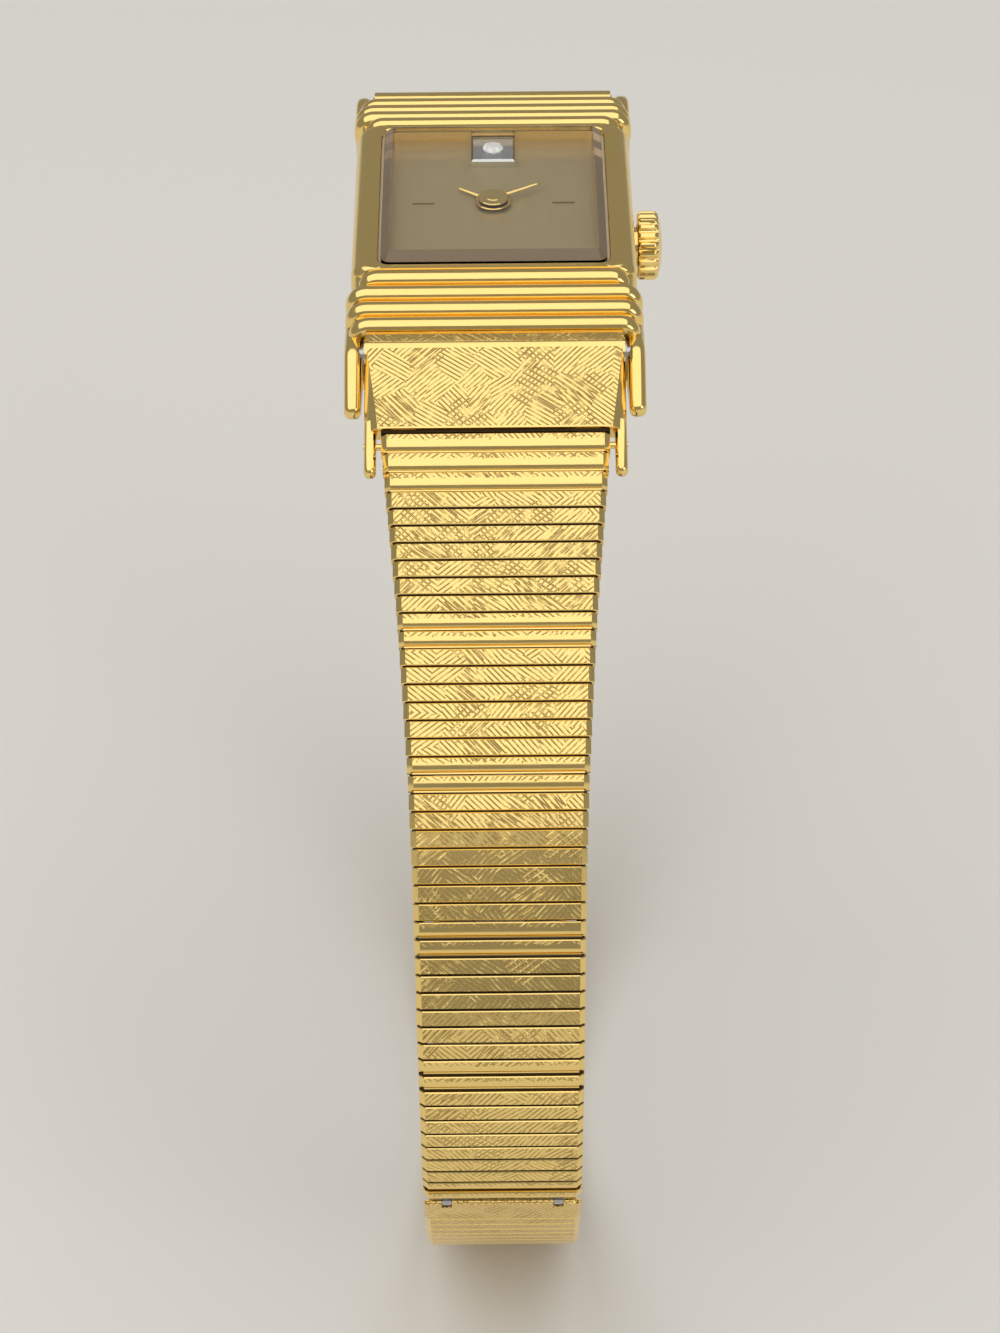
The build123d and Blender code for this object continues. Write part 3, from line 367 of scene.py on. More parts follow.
def rings_shape(rings, flat=None, finishes=0, edge=0.0, closed=False):
    """A closed surface over rings of points. Point (i, j) is joined to (i+1, j), (i+1, j+1) and (i, j+1),
    where j runs round and i runs round too if closed is set. Otherwise the first and last rings are
    filled in. Finishes are given for faces and edge values for points, each as one or as an array."""
    rows, columns = rings.shape[:2]
    i, j = np.meshgrid(np.arange(rows if closed else rows - 1), np.arange(columns), indexing="ij")
    i_next, j_next = (i + 1) % rows, (j + 1) % columns
    quads = np.stack([i * columns + j, i_next * columns + j, i_next * columns + j_next,
                      i * columns + j_next], -1).reshape(-1, 4)
    caps = []
    if not closed:
        caps = [np.arange(columns), (rows - 1) * columns + np.arange(columns)[::-1]]
    points = rings.reshape(-1, 3)
    shape = {
        "points": points, "quads": quads, "caps": caps,
        "flat": points[:, :2] if flat is None else flat.reshape(-1, 2),
        "finish": np.broadcast_to(finishes, i.shape).ravel(),
        "edge": np.broadcast_to(edge, rings.shape[:2]).ravel(),
    }
    return outward(shape)


def outward(shape):
    """Turns the faces round where the volume, the sum of corner products over all faces, is negative."""
    points, quads = shape["points"] - shape["points"].mean(0), shape["quads"]
    a, b, c, d = (points[quads[:, k]] for k in range(4))
    volume = np.einsum("ij,ij->", a, np.cross(b, c)) + np.einsum("ij,ij->", a, np.cross(c, d))
    for cap in shape["caps"]:
        fan = points[cap]
        volume += np.einsum("j,ij->", fan[0], np.cross(fan[1:-1], fan[2:]))
    if volume < 0:
        shape["quads"] = quads[:, ::-1]
        shape["caps"] = [cap[::-1] for cap in shape["caps"]]
    return shape


def new_object(name, data):
    """A new object in the scene."""
    result = bpy.data.objects.new(name, data)
    bpy.context.scene.collection.objects.link(result)
    return result


def piece(name, shapes, materials, body, nodes, sharp=30.0):
    """One mesh object made of shapes, on its body, for its CAD nodes. Points are scaled from millimetres,
    and the many-cornered faces get the last material."""
    counts = np.cumsum([0] + [len(s["points"]) for s in shapes])
    quads = np.concatenate([s["quads"] + n for s, n in zip(shapes, counts)])
    caps = [cap + n for s, n in zip(shapes, counts) for cap in s["caps"]]
    corners = np.concatenate([quads.ravel()] + caps)
    sizes = np.concatenate([np.full(len(quads), 4), [len(cap) for cap in caps]]).astype(int)
    finishes = np.concatenate([s["finish"] for s in shapes] + [np.full(len(caps), len(materials) - 1)])
    points = np.concatenate([s["points"] for s in shapes]) * MM
    flat = np.concatenate([s["flat"] for s in shapes])
    edge = np.concatenate([s["edge"] for s in shapes])
    mesh = bpy.data.meshes.new(name)
    mesh.vertices.add(len(points))
    mesh.vertices.foreach_set("co", points.ravel())
    mesh.loops.add(len(corners))
    mesh.loops.foreach_set("vertex_index", corners.astype(np.int32))
    mesh.polygons.add(len(sizes))
    mesh.polygons.foreach_set("loop_start", (np.cumsum(sizes) - sizes).astype(np.int32))
    mesh.polygons.foreach_set("loop_total", sizes.astype(np.int32))
    mesh.polygons.foreach_set("material_index", finishes.astype(np.int32))
    mesh.uv_layers.new(name="flat")
    mesh.uv_layers["flat"].data.foreach_set("uv", flat[corners].astype(np.float32).ravel())
    mesh.attributes.new("edge", "FLOAT", "POINT").data.foreach_set("value", edge.astype(np.float32))
    mesh.update(calc_edges=True)
    mesh.polygons.foreach_set("use_smooth", np.ones(len(sizes), bool))
    mesh.set_sharp_from_angle(angle=math.radians(sharp))
    for material in materials:
        mesh.materials.append(material)
    result = new_object(name, mesh)
    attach(result, body)
    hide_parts(*nodes)


def unit(angles):
    """Points on a circle of radius one: each angle's cosine and sine."""
    return np.stack([np.cos(angles), np.sin(angles)], -1)


def box_outline(near, far, low, high):
    """The outline of an upright box, from its near foot."""
    return [(near, low), (far, low), (far, high), (near, high)]


def rounded_rectangles(rows, corner_points):
    """Rings from rows of half width, half length, corner radius and height. A ring is a corner's centre
    plus its radius times the cosine and sine of an angle that goes round once over four corners."""
    half_x, half_y, corner, height = (column[:, None] for column in np.asarray(rows, float).T)
    quarter = np.linspace(0, math.pi / 2, corner_points)
    angle = (np.arange(4)[:, None] * math.pi / 2 + quarter).ravel()
    side_x, side_y = np.repeat([1, -1, -1, 1], corner_points), np.repeat([1, 1, -1, -1], corner_points)
    x = side_x * (half_x - corner) + corner * np.cos(angle)
    y = side_y * (half_y - corner) + corner * np.sin(angle)
    return np.stack([x, y, np.broadcast_to(height, x.shape)], -1)


def turned(profile, segments):
    """Rings of a turned shape: each row of radius and height, carried round the Z axis."""
    radius, height = (column[:, None] for column in np.asarray(profile, float).T)
    angle = np.arange(segments) * 2 * math.pi / segments
    x, y = radius * np.cos(angle), radius * np.sin(angle)
    return np.stack([x, y, np.broadcast_to(height, x.shape)], -1)


def carried(outline, stations):
    """Rings of a bar: an outline of along and up, placed at each station across."""
    outline, stations = np.asarray(outline, float), np.asarray(stations, float)
    x = np.repeat(stations[:, None], len(outline), 1)
    along = np.broadcast_to(outline[:, 0], x.shape)
    up = np.broadcast_to(outline[:, 1], x.shape)
    return np.stack([x, along, up], -1)


def drawn_in(outline, amount):
    """An outline moved inwards: each corner goes along the mean of its two sides' normals."""
    ahead = np.roll(outline, -1, 0) - outline
    ahead = ahead / np.linalg.norm(ahead, axis=1, keepdims=True)
    normal = np.stack([-ahead[:, 1], ahead[:, 0]], -1)
    both = normal + np.roll(normal, 1, 0)
    both = both / (1 + np.sum(normal * np.roll(normal, 1, 0), 1, keepdims=True))
    area = np.sum(outline[:, 0] * np.roll(outline[:, 1], -1) - outline[:, 1] * np.roll(outline[:, 0], -1))
    return outline + np.sign(area) * amount * both


def soft_bar(outline, low, high, soft):
    """Rings of a bar across, whose end faces have a rounded rim: the outline is drawn in by the rim
    radius times one minus the cosine, while it moves out by the radius times the sine."""
    outline = np.asarray(outline, float)
    turn = np.linspace(math.pi / 2, 0, SOFT_STEPS)
    drawn = [drawn_in(outline, soft * (1 - math.cos(a))) for a in turn]
    out = [soft - soft * math.sin(a) for a in turn]
    rings = [carried(ring, [low + o]) for ring, o in zip(drawn, out)]
    return np.concatenate(rings + [carried(ring, [high - o]) for ring, o in zip(drawn[::-1], out[::-1])])


def step_along(u, z, droop, length):
    """The end of a straight step of the bracelet's axis line."""
    angle = math.radians(droop)
    return u + length * math.cos(angle), z - length * math.sin(angle)


def step_out(u, z, droop, height):
    """A point above the bracelet's axis line, square to it."""
    angle = math.radians(droop)
    return u + height * math.sin(angle), z + height * math.cos(angle)


def laid(points, start_u, start_z, droop, side):
    """Places points of a strip's own frame: across stays, along goes down by the droop, up stands square
    to it, and the six o'clock half is turned half round."""
    angle = np.radians(droop)
    across, along, up = points[..., 0], points[..., 1], points[..., 2]
    y = start_u + along * np.cos(angle) + up * np.sin(angle)
    z = start_z - along * np.sin(angle) + up * np.cos(angle)
    turn = -1 if side else 1
    return np.stack([turn * across, turn * y, z], -1)


def on_strip(points, half, number):
    """Points of a strip's own frame, placed where that strip lies."""
    return laid(points, *(half[key][number - 1] for key in ("u", "z", "droop")), half["side"])


def on_link(points, half):
    """Points of an end link's own frame, placed where it lies."""
    return laid(points, BAR_Y, BAR_Z, half["link"], half["side"])


def lay_strips(droops, link_droop):
    """Starts of strips laid one after another: running sums of pitch times each droop's cosine and sine."""
    u, z = step_along(BAR_Y, BAR_Z, link_droop, LINK_LENGTH + LINK_GAP)
    u, z = step_out(u, z, link_droop, LINK_BARREL - STRIP_RISE)
    pitch = np.where(np.arange(len(droops)) < WIDE_CUTS, FIRST_PITCH, STRIP_PITCH)
    angle = np.radians(droops)
    us = u + np.concatenate([[0], np.cumsum(pitch * np.cos(angle))])
    zs = z - np.concatenate([[0], np.cumsum(pitch * np.sin(angle))])
    return us, zs, pitch


def six_half():
    """The six o'clock half: droops and starts."""
    droops = np.interp(np.arange(SIX_STRIPS) + 0.5, SIX_AT, SIX_BENDS)
    us, zs, pitch = lay_strips(droops, SIX_DROOP)
    return {"droop": droops, "u": us, "z": zs, "pitch": pitch, "link": SIX_DROOP, "side": 1}


def twelve_half():
    """The twelve o'clock half, whose droops get the tilt and bow that make the loop close at the clasp."""
    six = six_half()
    end_u, end_z = step_along(six["u"][-1], six["z"][-1], CLASP_DROOP, CLASP_LENGTH)
    middles = np.arange(TWELVE_STRIPS) + 0.5
    table = np.interp(middles, TWELVE_AT, TWELVE_BENDS)
    shares = middles / TWELVE_STRIPS

    def laid_with(tilt, bow):
        droops = table + tilt * (1 - shares) + bow * np.sin(math.pi * shares)
        return droops, lay_strips(droops, TWELVE_DROOP + tilt)

    def miss(tilt, bow):
        _, (us, zs, _) = laid_with(tilt, bow)
        return np.array([us[-1] + end_u, zs[-1] - end_z])

    tilt, bow, nudge = 0.0, 0.0, CLOSING_STEP
    for _ in range(CLOSING_ROUNDS):
        here = miss(tilt, bow)
        slopes = np.stack([miss(tilt + nudge, bow) - here, miss(tilt, bow + nudge) - here], 1) / nudge
        tilt, bow = np.array([tilt, bow]) - np.linalg.solve(slopes, here)
    droops, (us, zs, pitch) = laid_with(tilt, bow)
    return {"droop": droops, "u": us, "z": zs, "pitch": pitch, "link": TWELVE_DROOP + tilt, "side": 0}


def strip_widths(numbers):
    """The band's width at each strip, counted from the end link."""
    start, end = BAND_WIDTHS
    return start - np.interp(numbers, TAPER_AT, TAPER_SHARE) * (start - end)


def cut_strips(numbers):
    """Which strips have a polished cut: the first three, and pairs at an even spacing."""
    starts = np.array([int(FIRST_CUT + CUT_SPACING * k) for k in range(CUT_COUNT)])
    return (numbers <= WIDE_CUTS) | np.isin(numbers, starts) | np.isin(numbers - 1, starts)


def cap_shapes(numbers, half, cut):
    """The gold caps of some strips. A cap's outline across is a bar with a bevel and a wall at each end,
    and it is carried along the band while its top follows the strip's profile."""
    band = bpy.context.scene.watch_band
    bevel, depth = millimetres(band.side_bevel), millimetres(band.cut_depth)
    pitch = half["pitch"][numbers - 1][:, None]
    start, end = STRIP_GAP / 2 + 0 * pitch, pitch - STRIP_GAP / 2
    if cut:
        land = pitch * CUT_LAND_SHARE
        reach = end - CUT_VALLEY - land
        along = np.concatenate([start, start + STRIP_EDGE, land, land + reach * np.array(CUT_ALONG), end], 1)
        down = np.array([STRIP_EDGE, 0, 0] + [depth * d for d in CUT_DOWN] + [depth])
        near_edge = np.array([0.0, 0.0, 1.0] + [0.0] * (len(CUT_DOWN) + 1))
    else:
        along = np.concatenate([start, start + STRIP_EDGE, end - STRIP_EDGE, end], 1)
        down = np.array([STRIP_EDGE, 0, 0, STRIP_EDGE])
        near_edge = np.zeros(4)
    top = (STRIP_RISE - down)[None, :, None]
    w = strip_widths(numbers)[:, None, None] / 2
    under, foot = STRIP_RISE - STRIP_SHEET, -STRIP_DROP
    wall = w - STRIP_WALL
    across = [-w, -w, bevel - w, w - bevel, w, w, wall, wall, -wall, -wall]
    up = [foot, top - bevel, top, top, top - bevel, foot, foot, under, under, foot]
    count, stations = along.shape
    shape = (count, stations, 1)
    x = np.concatenate([np.broadcast_to(a, shape) for a in across], 2)
    z = np.concatenate([np.broadcast_to(h, shape) for h in up], 2)
    s = np.broadcast_to(along[:, :, None], x.shape)
    local = np.stack([x, s, z], -1)
    places = [half[key][numbers - 1][:, None, None] for key in ("u", "z", "droop")]
    world = laid(local, *places, half["side"])
    run = (np.cumsum(half["pitch"]) - half["pitch"])[numbers - 1][:, None, None]
    flat = np.stack([x, s + run + STRIP_SHIFT * half["side"]], -1)
    finishes = np.ones((stations - 1, len(across)), int)
    finishes[1, 2] = 0
    return [rings_shape(rings, places, finishes, near_edge[:, None]) for rings, places in zip(world, flat)]


def carrier_shapes(numbers, half):
    """The steel carriers: under each cap a rib across, a middle knuckle, two outer knuckles and a pin. A
    knuckle's outline is half a circle round the pin and a straight web to the rib."""
    shapes = []
    round_end = KNUCKLE_RADIUS * unit(np.linspace(math.pi / 2, 3 * math.pi / 2, KNUCKLE_POINTS))
    pin = PIN_RADIUS * unit(np.arange(KNUCKLE_POINTS) * 2 * math.pi / KNUCKLE_POINTS)
    for number in numbers:
        pitch, width = half["pitch"][number - 1], strip_widths(number) * CARRIER_SHARE
        middle, axle = pitch / 2, np.array([pitch, 0])
        rib = (FIRST_RIB_LENGTH if number == 1 else RIB_LENGTH) / 2
        inner = width * KNUCKLE_SHARE
        outer = (width - inner) / 2 - SIDE_ROOM
        outline = box_outline(middle - rib, middle + rib, -STRIP_DROP, STRIP_RISE - STRIP_SHEET)
        bars = [carried(outline, [-width / 2, width / 2])]
        web = [(middle, -KNUCKLE_RADIUS / 2), (middle, KNUCKLE_RADIUS / 2)]
        if number > 1:
            bars.append(carried(np.concatenate([round_end, web]), [-inner / 2, inner / 2]))
        if half["side"] or number < len(half["droop"]):
            knuckle = np.concatenate([axle - round_end, web[::-1]])
            for edge in (-1, 1):
                mid = edge * (width - outer) / 2
                bars.append(carried(knuckle, [mid - outer / 2, mid + outer / 2]))
            reach = width / 2 + STRIP_EDGE
            bars.append(carried(axle + pin, [-reach, reach]))
        shapes += [rings_shape(on_strip(bar, half, number)) for bar in bars]
    return shapes


def shade_bar(number, half, outline):
    """A dark bar of painted shade across the band, from its outline beside one strip."""
    reach = strip_widths(number + 1) / 2 - SHADE_BAR_INSET
    return rings_shape(on_strip(carried(outline, [-reach, reach]), half, number))


def shade_bar_shapes(numbers, half):
    """Dark bars of painted shade that close the gaps between the strips to the eye. Within a section a bar
    fills its gap.
    Where two sections meet, a bar with a cut-back top stands on the one and a low bar on the other, each
    clear of its neighbour while the band turns there."""
    shapes = []
    for number in numbers[:-1]:
        middle = half["pitch"][number - 1]
        outline = box_outline(middle - SHADE_BAR_HALF, middle + SHADE_BAR_HALF, SHADE_BAR_LOW, SHADE_BAR_TOP)
        shapes.append(shade_bar(number, half, outline))
    last = numbers[-1]
    if last < len(half["droop"]):
        middle = half["pitch"][last - 1]
        near, far = middle - SHADE_BAR_HALF, middle + SHADE_BAR_END_PAST
        outline = box_outline(near, far, -SHADE_BAR_END_HALF, SHADE_BAR_END_HALF)[:3]
        outline += [(middle, SHADE_BAR_TOP), (near, SHADE_BAR_TOP)]
        shapes.append(shade_bar(last, half, outline))
    near, high = SHADE_BAR_START_NEAR, SHADE_BAR_START_TOP
    if numbers[0] == 1:
        near, high = SHADE_BAR_LINK_NEAR, SHADE_BAR_LINK_TOP
    shapes.append(shade_bar(numbers[0], half, box_outline(near, SHADE_BAR_START_FAR, SHADE_BAR_LOW, high)))
    return shapes


def sections():
    """Every run of strips: its node's name, its strips' numbers and its half."""
    for prefix, half, counts in (("links_12", twelve_half(), TWELVE_SECTIONS),
                                 ("links_6", six_half(), SIX_SECTIONS)):
        start = 1
        for index, count in enumerate(counts, start=1):
            yield f"{prefix}_{index:02d}", np.arange(start, start + count), half
            start += count


# Finishes

class Coat:
    """The material of one finish: its shader, and short ways to add nodes to it."""

    def __init__(self, name, colour, **values):
        self.material = bpy.data.materials.new(name)
        self.material.use_nodes = True
        self.tree = self.material.node_tree
        self.tree.nodes.clear()
        self.shader = self.tree.nodes.new("ShaderNodeBsdfPrincipled")
        self.output = self.tree.nodes.new("ShaderNodeOutputMaterial")
        self.feed(self.output, {"Surface": self.shader.outputs["BSDF"]})
        self.feed(self.shader, {"Base Color": (*colour, 1.0)})
        self.feed(self.shader, {key.replace("_", " "): value for key, value in values.items()})

    def feed(self, node, inputs):
        """Gives a node's inputs their values, or joins them to the sockets that feed them."""
        for key, value in inputs.items():
            if isinstance(value, bpy.types.NodeSocket):
                self.tree.links.new(value, node.inputs[key])
            else:
                node.inputs[key].default_value = value

    def add(self, kind, inputs=(), **settings):
        """Adds one node with its settings and inputs, and gives back its outputs."""
        node = self.tree.nodes.new(f"ShaderNode{kind}")
        for key, value in settings.items():
            setattr(node, key, value)
        self.feed(node, dict(inputs))
        return node.outputs

    def maths(self, operation, *inputs):
        """One sum on sockets or numbers."""
        return self.add("Math", enumerate(inputs), operation=operation)["Value"]

    def vectors(self, operation, *inputs):
        """One sum on places."""
        return self.add("VectorMath", enumerate(inputs), operation=operation)["Vector"]

    def ranged(self, socket, low, high, to_low, to_high):
        """A value carried from one range to another, held at both ends."""
        return self.add("MapRange", {"Value": socket, "From Min": low, "From Max": high, "To Min": to_low,
                                     "To Max": to_high})["Result"]

    def noise(self, place, scale, detail, output="Fac"):
        """Soft noise over a place."""
        return self.add("TexNoise", {"Vector": place, "Scale": scale, "Detail": detail})[output]

    def mixed(self, share, first, second):
        """A colour between two colours."""
        return self.add("Mix", {"Factor": share, "A": (*first, 1.0), "B": (*second, 1.0)},
                        data_type="RGBA")["Result"]

    def place(self, scale=(1.0, 1.0, 1.0), turn=(0.0, 0.0, 0.0)):
        """The place on the piece in millimetres, turned and stretched."""
        where = self.add("TexCoord")["Object"]
        stretch = tuple(value / MM for value in scale)
        return self.add("Mapping", {"Vector": where, "Scale": stretch, "Rotation": turn})["Vector"]

    def bump(self, height, depth, strength=1.0):
        """A relief from a height, with its depth in metres."""
        relief = self.add("Bump", {"Height": height, "Strength": strength, "Distance": depth})
        self.feed(self.shader, {"Normal": relief["Normal"]})

    def worn(self, place, low, high, scale=0.6, detail=4.0):
        """Roughness that varies over the piece, as handling leaves it."""
        spread = self.ranged(self.noise(place, scale, detail), *NOISE_SPREAD, low, high)
        self.feed(self.shader, {"Roughness": spread})

    def hairlines(self, place, depth_mm, scale=3.0):
        """Very fine marks from wiping, as a shallow bump."""
        self.bump(self.noise(place, scale, 3.0), depth_mm * MM, 0.6)


def polished_gold():
    """Gold plate polished to a mirror: warm, with faint wiping marks that soften its reflections."""
    coat = Coat("polished gold plate", bpy.context.scene.watch_finish.gold, Metallic=1.0)
    coat.worn(coat.place(), 0.09, 0.2)
    coat.hairlines(coat.place((0.4, 5.0, 5.0)), 0.002)
    return coat


def hatch_lines(coat, place, seed, spacing, cell, bare):
    """One set of engraved lines: patches of parallel lines that lean one way or the other, of which a
    share stays bare. A line is the crest of a sine of the turned place over the spacing."""
    shifted = coat.vectors("ADD", place, (seed, 1.7 * seed, 0.0))
    patches = coat.add("TexVoronoi", {"Vector": shifted, "Scale": 1 / cell, "Randomness": 1.0},
                       voronoi_dimensions="2D")
    chance = coat.add("SeparateColor", {"Color": patches["Color"]})
    sign = coat.ranged(coat.maths("GREATER_THAN", chance["Red"], 0.5), 0.0, 1.0, -1.0, 1.0)
    angle = coat.maths("MULTIPLY", sign, coat.ranged(chance["Green"], 0.0, 1.0, *HATCH_LEAN))
    turn = coat.add("VectorRotate", {"Vector": place, "Angle": angle}, rotation_type="Z_AXIS")
    across = coat.add("SeparateXYZ", {"Vector": turn["Vector"]})["X"]
    wave = coat.maths("SINE", coat.maths("MULTIPLY", across, 2 * math.pi / spacing))
    cut = coat.maths("GREATER_THAN", chance["Blue"], bare)
    return coat.maths("MULTIPLY", coat.ranged(wave, *HATCH_CREST, 0.0, 1.0), cut)


def engraved_gold(name="engraved gold plate", turn=None):
    """Gold engraved with short crossing hatch lines in patches, whose grooves are painted darker as shade and
    whose land glitters between them. Near a polished cut the lines break off unevenly."""
    look = bpy.context.scene.watch_finish
    spacing, cell = millimetres(look.hatch_spacing), millimetres(look.hatch_cell)
    coat = Coat(name, look.gold, Metallic=1.0)
    if turn is None:
        place = coat.add("UVMap", uv_map="flat")["UV"]
    else:
        place = coat.place(turn=turn)
    shake = coat.noise(place, scale=0.8, detail=2.0, output="Color")
    centred = coat.vectors("SUBTRACT", shake, (0.5, 0.5, 0.5))
    small = coat.add("VectorMath", {0: centred, "Scale": HATCH_SHAKE}, operation="SCALE")["Vector"]
    hand_cut = coat.vectors("ADD", place, small)
    first = hatch_lines(coat, hand_cut, 0.0, spacing, cell, -1.0)
    second = hatch_lines(coat, hand_cut, HATCH_SEED, HATCH_WIDER * spacing, HATCH_LARGER * cell, HATCH_BARE)
    weight = coat.ranged(coat.noise(hand_cut, scale=1.5, detail=3.0), *HATCH_PRESS, 0.3, 1.0)
    lines = coat.maths("MULTIPLY", coat.maths("MAXIMUM", first, second), weight)
    if turn is None:
        edge = coat.add("Attribute", attribute_name="edge")["Fac"]
        reach = coat.ranged(coat.noise(place, scale=5.0, detail=2.0), 0.35, 0.65, *HATCH_REACH)
        lines = coat.maths("MULTIPLY", lines, coat.maths("LESS_THAN", edge, reach))
    # painted shade: the grooves are mixed towards the darker gold, for the shade that falls in them
    dark = coat.ranged(lines, 0.0, 1.0, 0.0, GROOVE_SHARE)
    rough = coat.ranged(lines, 0.0, 1.0, *HATCH_ROUGHNESS)
    coat.feed(coat.shader, {"Base Color": coat.mixed(dark, look.gold, look.groove_shade), "Roughness": rough})
    coat.bump(coat.maths("MULTIPLY", lines, -1.0), look.hatch_depth)
    return coat


def brushed_steel(name, along, colour=None, low=0.24, high=0.42):
    """Steel with long fine brush marks along one way, which draw its reflections out sideways."""
    look = bpy.context.scene.watch_finish
    coat = Coat(name, look.steel if colour is None else colour, Metallic=1.0)
    place = coat.place(tuple(BRUSH_ALONG if axis == along else BRUSH_ACROSS for axis in "XYZ"))
    coat.worn(place, low, high, scale=1.0, detail=2.0)
    coat.hairlines(place, 0.004, 1.6)
    return coat


def satin_dial():
    """Champagne dial with a fine upright grain, and dark printed lines where its marks stand up."""
    look = bpy.context.scene.watch_finish
    coat = Coat("satin champagne dial", look.dial, Metallic=0.75)
    place = coat.place((14.0, 0.35, 1.0))
    coat.worn(place, 0.3, 0.42, scale=1.0, detail=3.0)
    coat.hairlines(place, 0.003, 1.4)
    height = coat.add("SeparateXYZ", {"Vector": coat.add("TexCoord")["Object"]})["Z"]
    raised = coat.maths("GREATER_THAN", height, (DIAL_TOP + MARK_LOW) * MM)
    coat.feed(coat.shader, {"Base Color": coat.mixed(raised, look.dial, linear("#7A683F"))})
    return coat


def clear_glass(name, colour, ior, share=1.0):
    """Clear glass that lets lamp light through, so that what lies under it isn't shaded."""
    # where share is below one the rest is a diffuse colour: on the stone this is painted glint, on the bevel
    # painted reflection
    coat = Coat(name, colour, Roughness=0.0, IOR=ior, Transmission_Weight=share)
    shade = coat.add("LightPath")["Is Shadow Ray"]
    through = coat.add("BsdfTransparent", {"Color": (*colour, 1.0)})["BSDF"]
    mix = coat.add("MixShader", {"Fac": shade, 1: coat.shader.outputs["BSDF"], 2: through})
    coat.feed(coat.output, {"Surface": mix["Shader"]})
    return coat


def plain_finish(name, colour, low, high, grain, depth_mm, metallic=0.0):
    """A finish with a fine grain in its height and roughness."""
    coat = Coat(name, linear(colour), Metallic=metallic)
    place = coat.place()
    coat.worn(place, low, high, grain)
    coat.hairlines(place, depth_mm, grain * 2)
    return coat


def wound_wire():
    """Lacquered copper wire: fine turns side by side round the coil."""
    coat = Coat("lacquered copper wire", linear("#B4622A"), Metallic=0.8, Roughness=0.3)
    turns = coat.add("TexWave", {"Vector": coat.place(), "Scale": 3.2}, wave_type="BANDS",
                     bands_direction="X")
    coat.bump(turns["Fac"], 0.03 * MM)
    return coat


# Each finish's maker and what it is given, with what the finish gives the eye
MAKERS = {
    "polished gold": (polished_gold,),
    "engraved gold": (engraved_gold,),
    "engraved flap": (engraved_gold, "engraved gold flap", (math.pi - math.radians(CLASP_DROOP), 0.0, 0.0)),
    # cool grey with soft streaks across the band, beside the warm gold
    "bare steel": (brushed_steel, "brushed steel", "X"),
    # painted shade: a dark gold that stands for the depth between two strips
    "gap": (plain_finish, "gold painted dark as shade in the gaps", "#3B2C12", 0.6, 0.8, 2.0, 0.01, 0.4),
    # duller than the clasp's steel, as it is never polished
    "hidden steel": (brushed_steel, "plain steel of the carriers", "X", None, 0.3, 0.5),
    # soft streaks along the case, as on milled parts
    "movement steel": (brushed_steel, "satin steel of the movement", "Y"),
    # a bright white frame that sets the stone off from the dial
    "setting metal": (plain_finish, "polished white metal", "#DADADA", 0.08, 0.2, 1.2, 0.002, 1.0),
    # sharp small reflections that change from facet to facet, over a white diffuse share: painted glint for
    # the light the clear stone catches
    "stone": (clear_glass, "cut clear stone", linear("#FFFFFF"), 2.4, 0.6),
    # nearly unseen, apart from a plain reflection over the dial
    "crystal": (clear_glass, "crystal glass", linear("#FDFEFD"), 1.5),
    # painted reflection: a warm dim tone on the bevel stands for what it reflects and bends round the clear
    # glass
    "bevel glass": (clear_glass, "bevelled edge of the glass with a painted tone", linear("#C3A884"), 1.5, 0.6),
    "dial": (satin_dial,),
    # matt black lines in the joints
    "rubber": (plain_finish, "black seal rubber", "#1B1B1B", 0.55, 0.8, 1.5, 0.01),
    # a pale waxy line round the glass
    "nylon": (plain_finish, "pale seal nylon", "#CFC6B8", 0.35, 0.5, 1.5, 0.006),
    # dull pale plastic round the metal of the movement
    "ring": (plain_finish, "pale moulded plastic", "#D8D4C8", 0.4, 0.6, 1.5, 0.01),
    # yellow with streaks along the case
    "plate": (brushed_steel, "satin brass plate", "Y", linear("#D8B062")),
    # small bright discs, shinier than the plate
    "wheel": (plain_finish, "polished wheel brass", "#E2BE6C", 0.12, 0.28, 1.2, 0.003, 1.0),
    # a clean grey disc with broad soft reflections
    "cell": (plain_finish, "plated cell steel", "#C9C9CB", 0.15, 0.3, 1.2, 0.004, 1.0),
    "coil": (wound_wire,),
    # glossy dark green
    "board": (plain_finish, "green board lacquer", "#17582B", 0.2, 0.4, 1.5, 0.006),
}
MADE = {}


def finish(name):
    """The material of the finish of that name, made once."""
    if name not in MADE:
        maker, *given = MAKERS[name]
        MADE[name] = maker(*given).material
    return MADE[name]


KEPT_NODES = {
    "engraved flap": ("clasp_flap",),
    "bare steel": ("case_back", "spring_bars", "clasp_frame", "clasp_tongue"),
    "setting metal": ("stone_setting",),
    "dial": ("dial",),
    "rubber": ("back_gasket", "crown_gasket"),
    "nylon": ("crystal_gasket",),
    "ring": ("movement_ring",),
    "plate": ("main_plate",),
    "wheel": ("centre_wheel", "third_wheel", "intermediate_wheel", "minute_wheel", "hour_wheel"),
    "movement steel": ("train_bridge", "bridge_screws", "winding_stem", "sliding_pinion", "setting_lever",
                       "battery_clamp", "quartz_can", "stator", "coil_core", "rotor"),
    "cell": ("battery",),
    "coil": ("coil_winding",),
    "board": ("circuit_board",),
}


class WATCH_OT_kept_nodes(bpy.types.Operator):
    """Gives every CAD node that keeps showing its real finish"""
    bl_idname = "watch.kept_nodes"
    bl_label = "Finish the plain nodes"

    def execute(self, context):
        for name, nodes in KEPT_NODES.items():
            for node in nodes:
                mesh_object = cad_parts[node]
                if not mesh_object.material_slots:
                    mesh_object.data.materials.append(None)
                for slot in mesh_object.material_slots:
                    slot.material = finish(name)
        return {"FINISHED"}


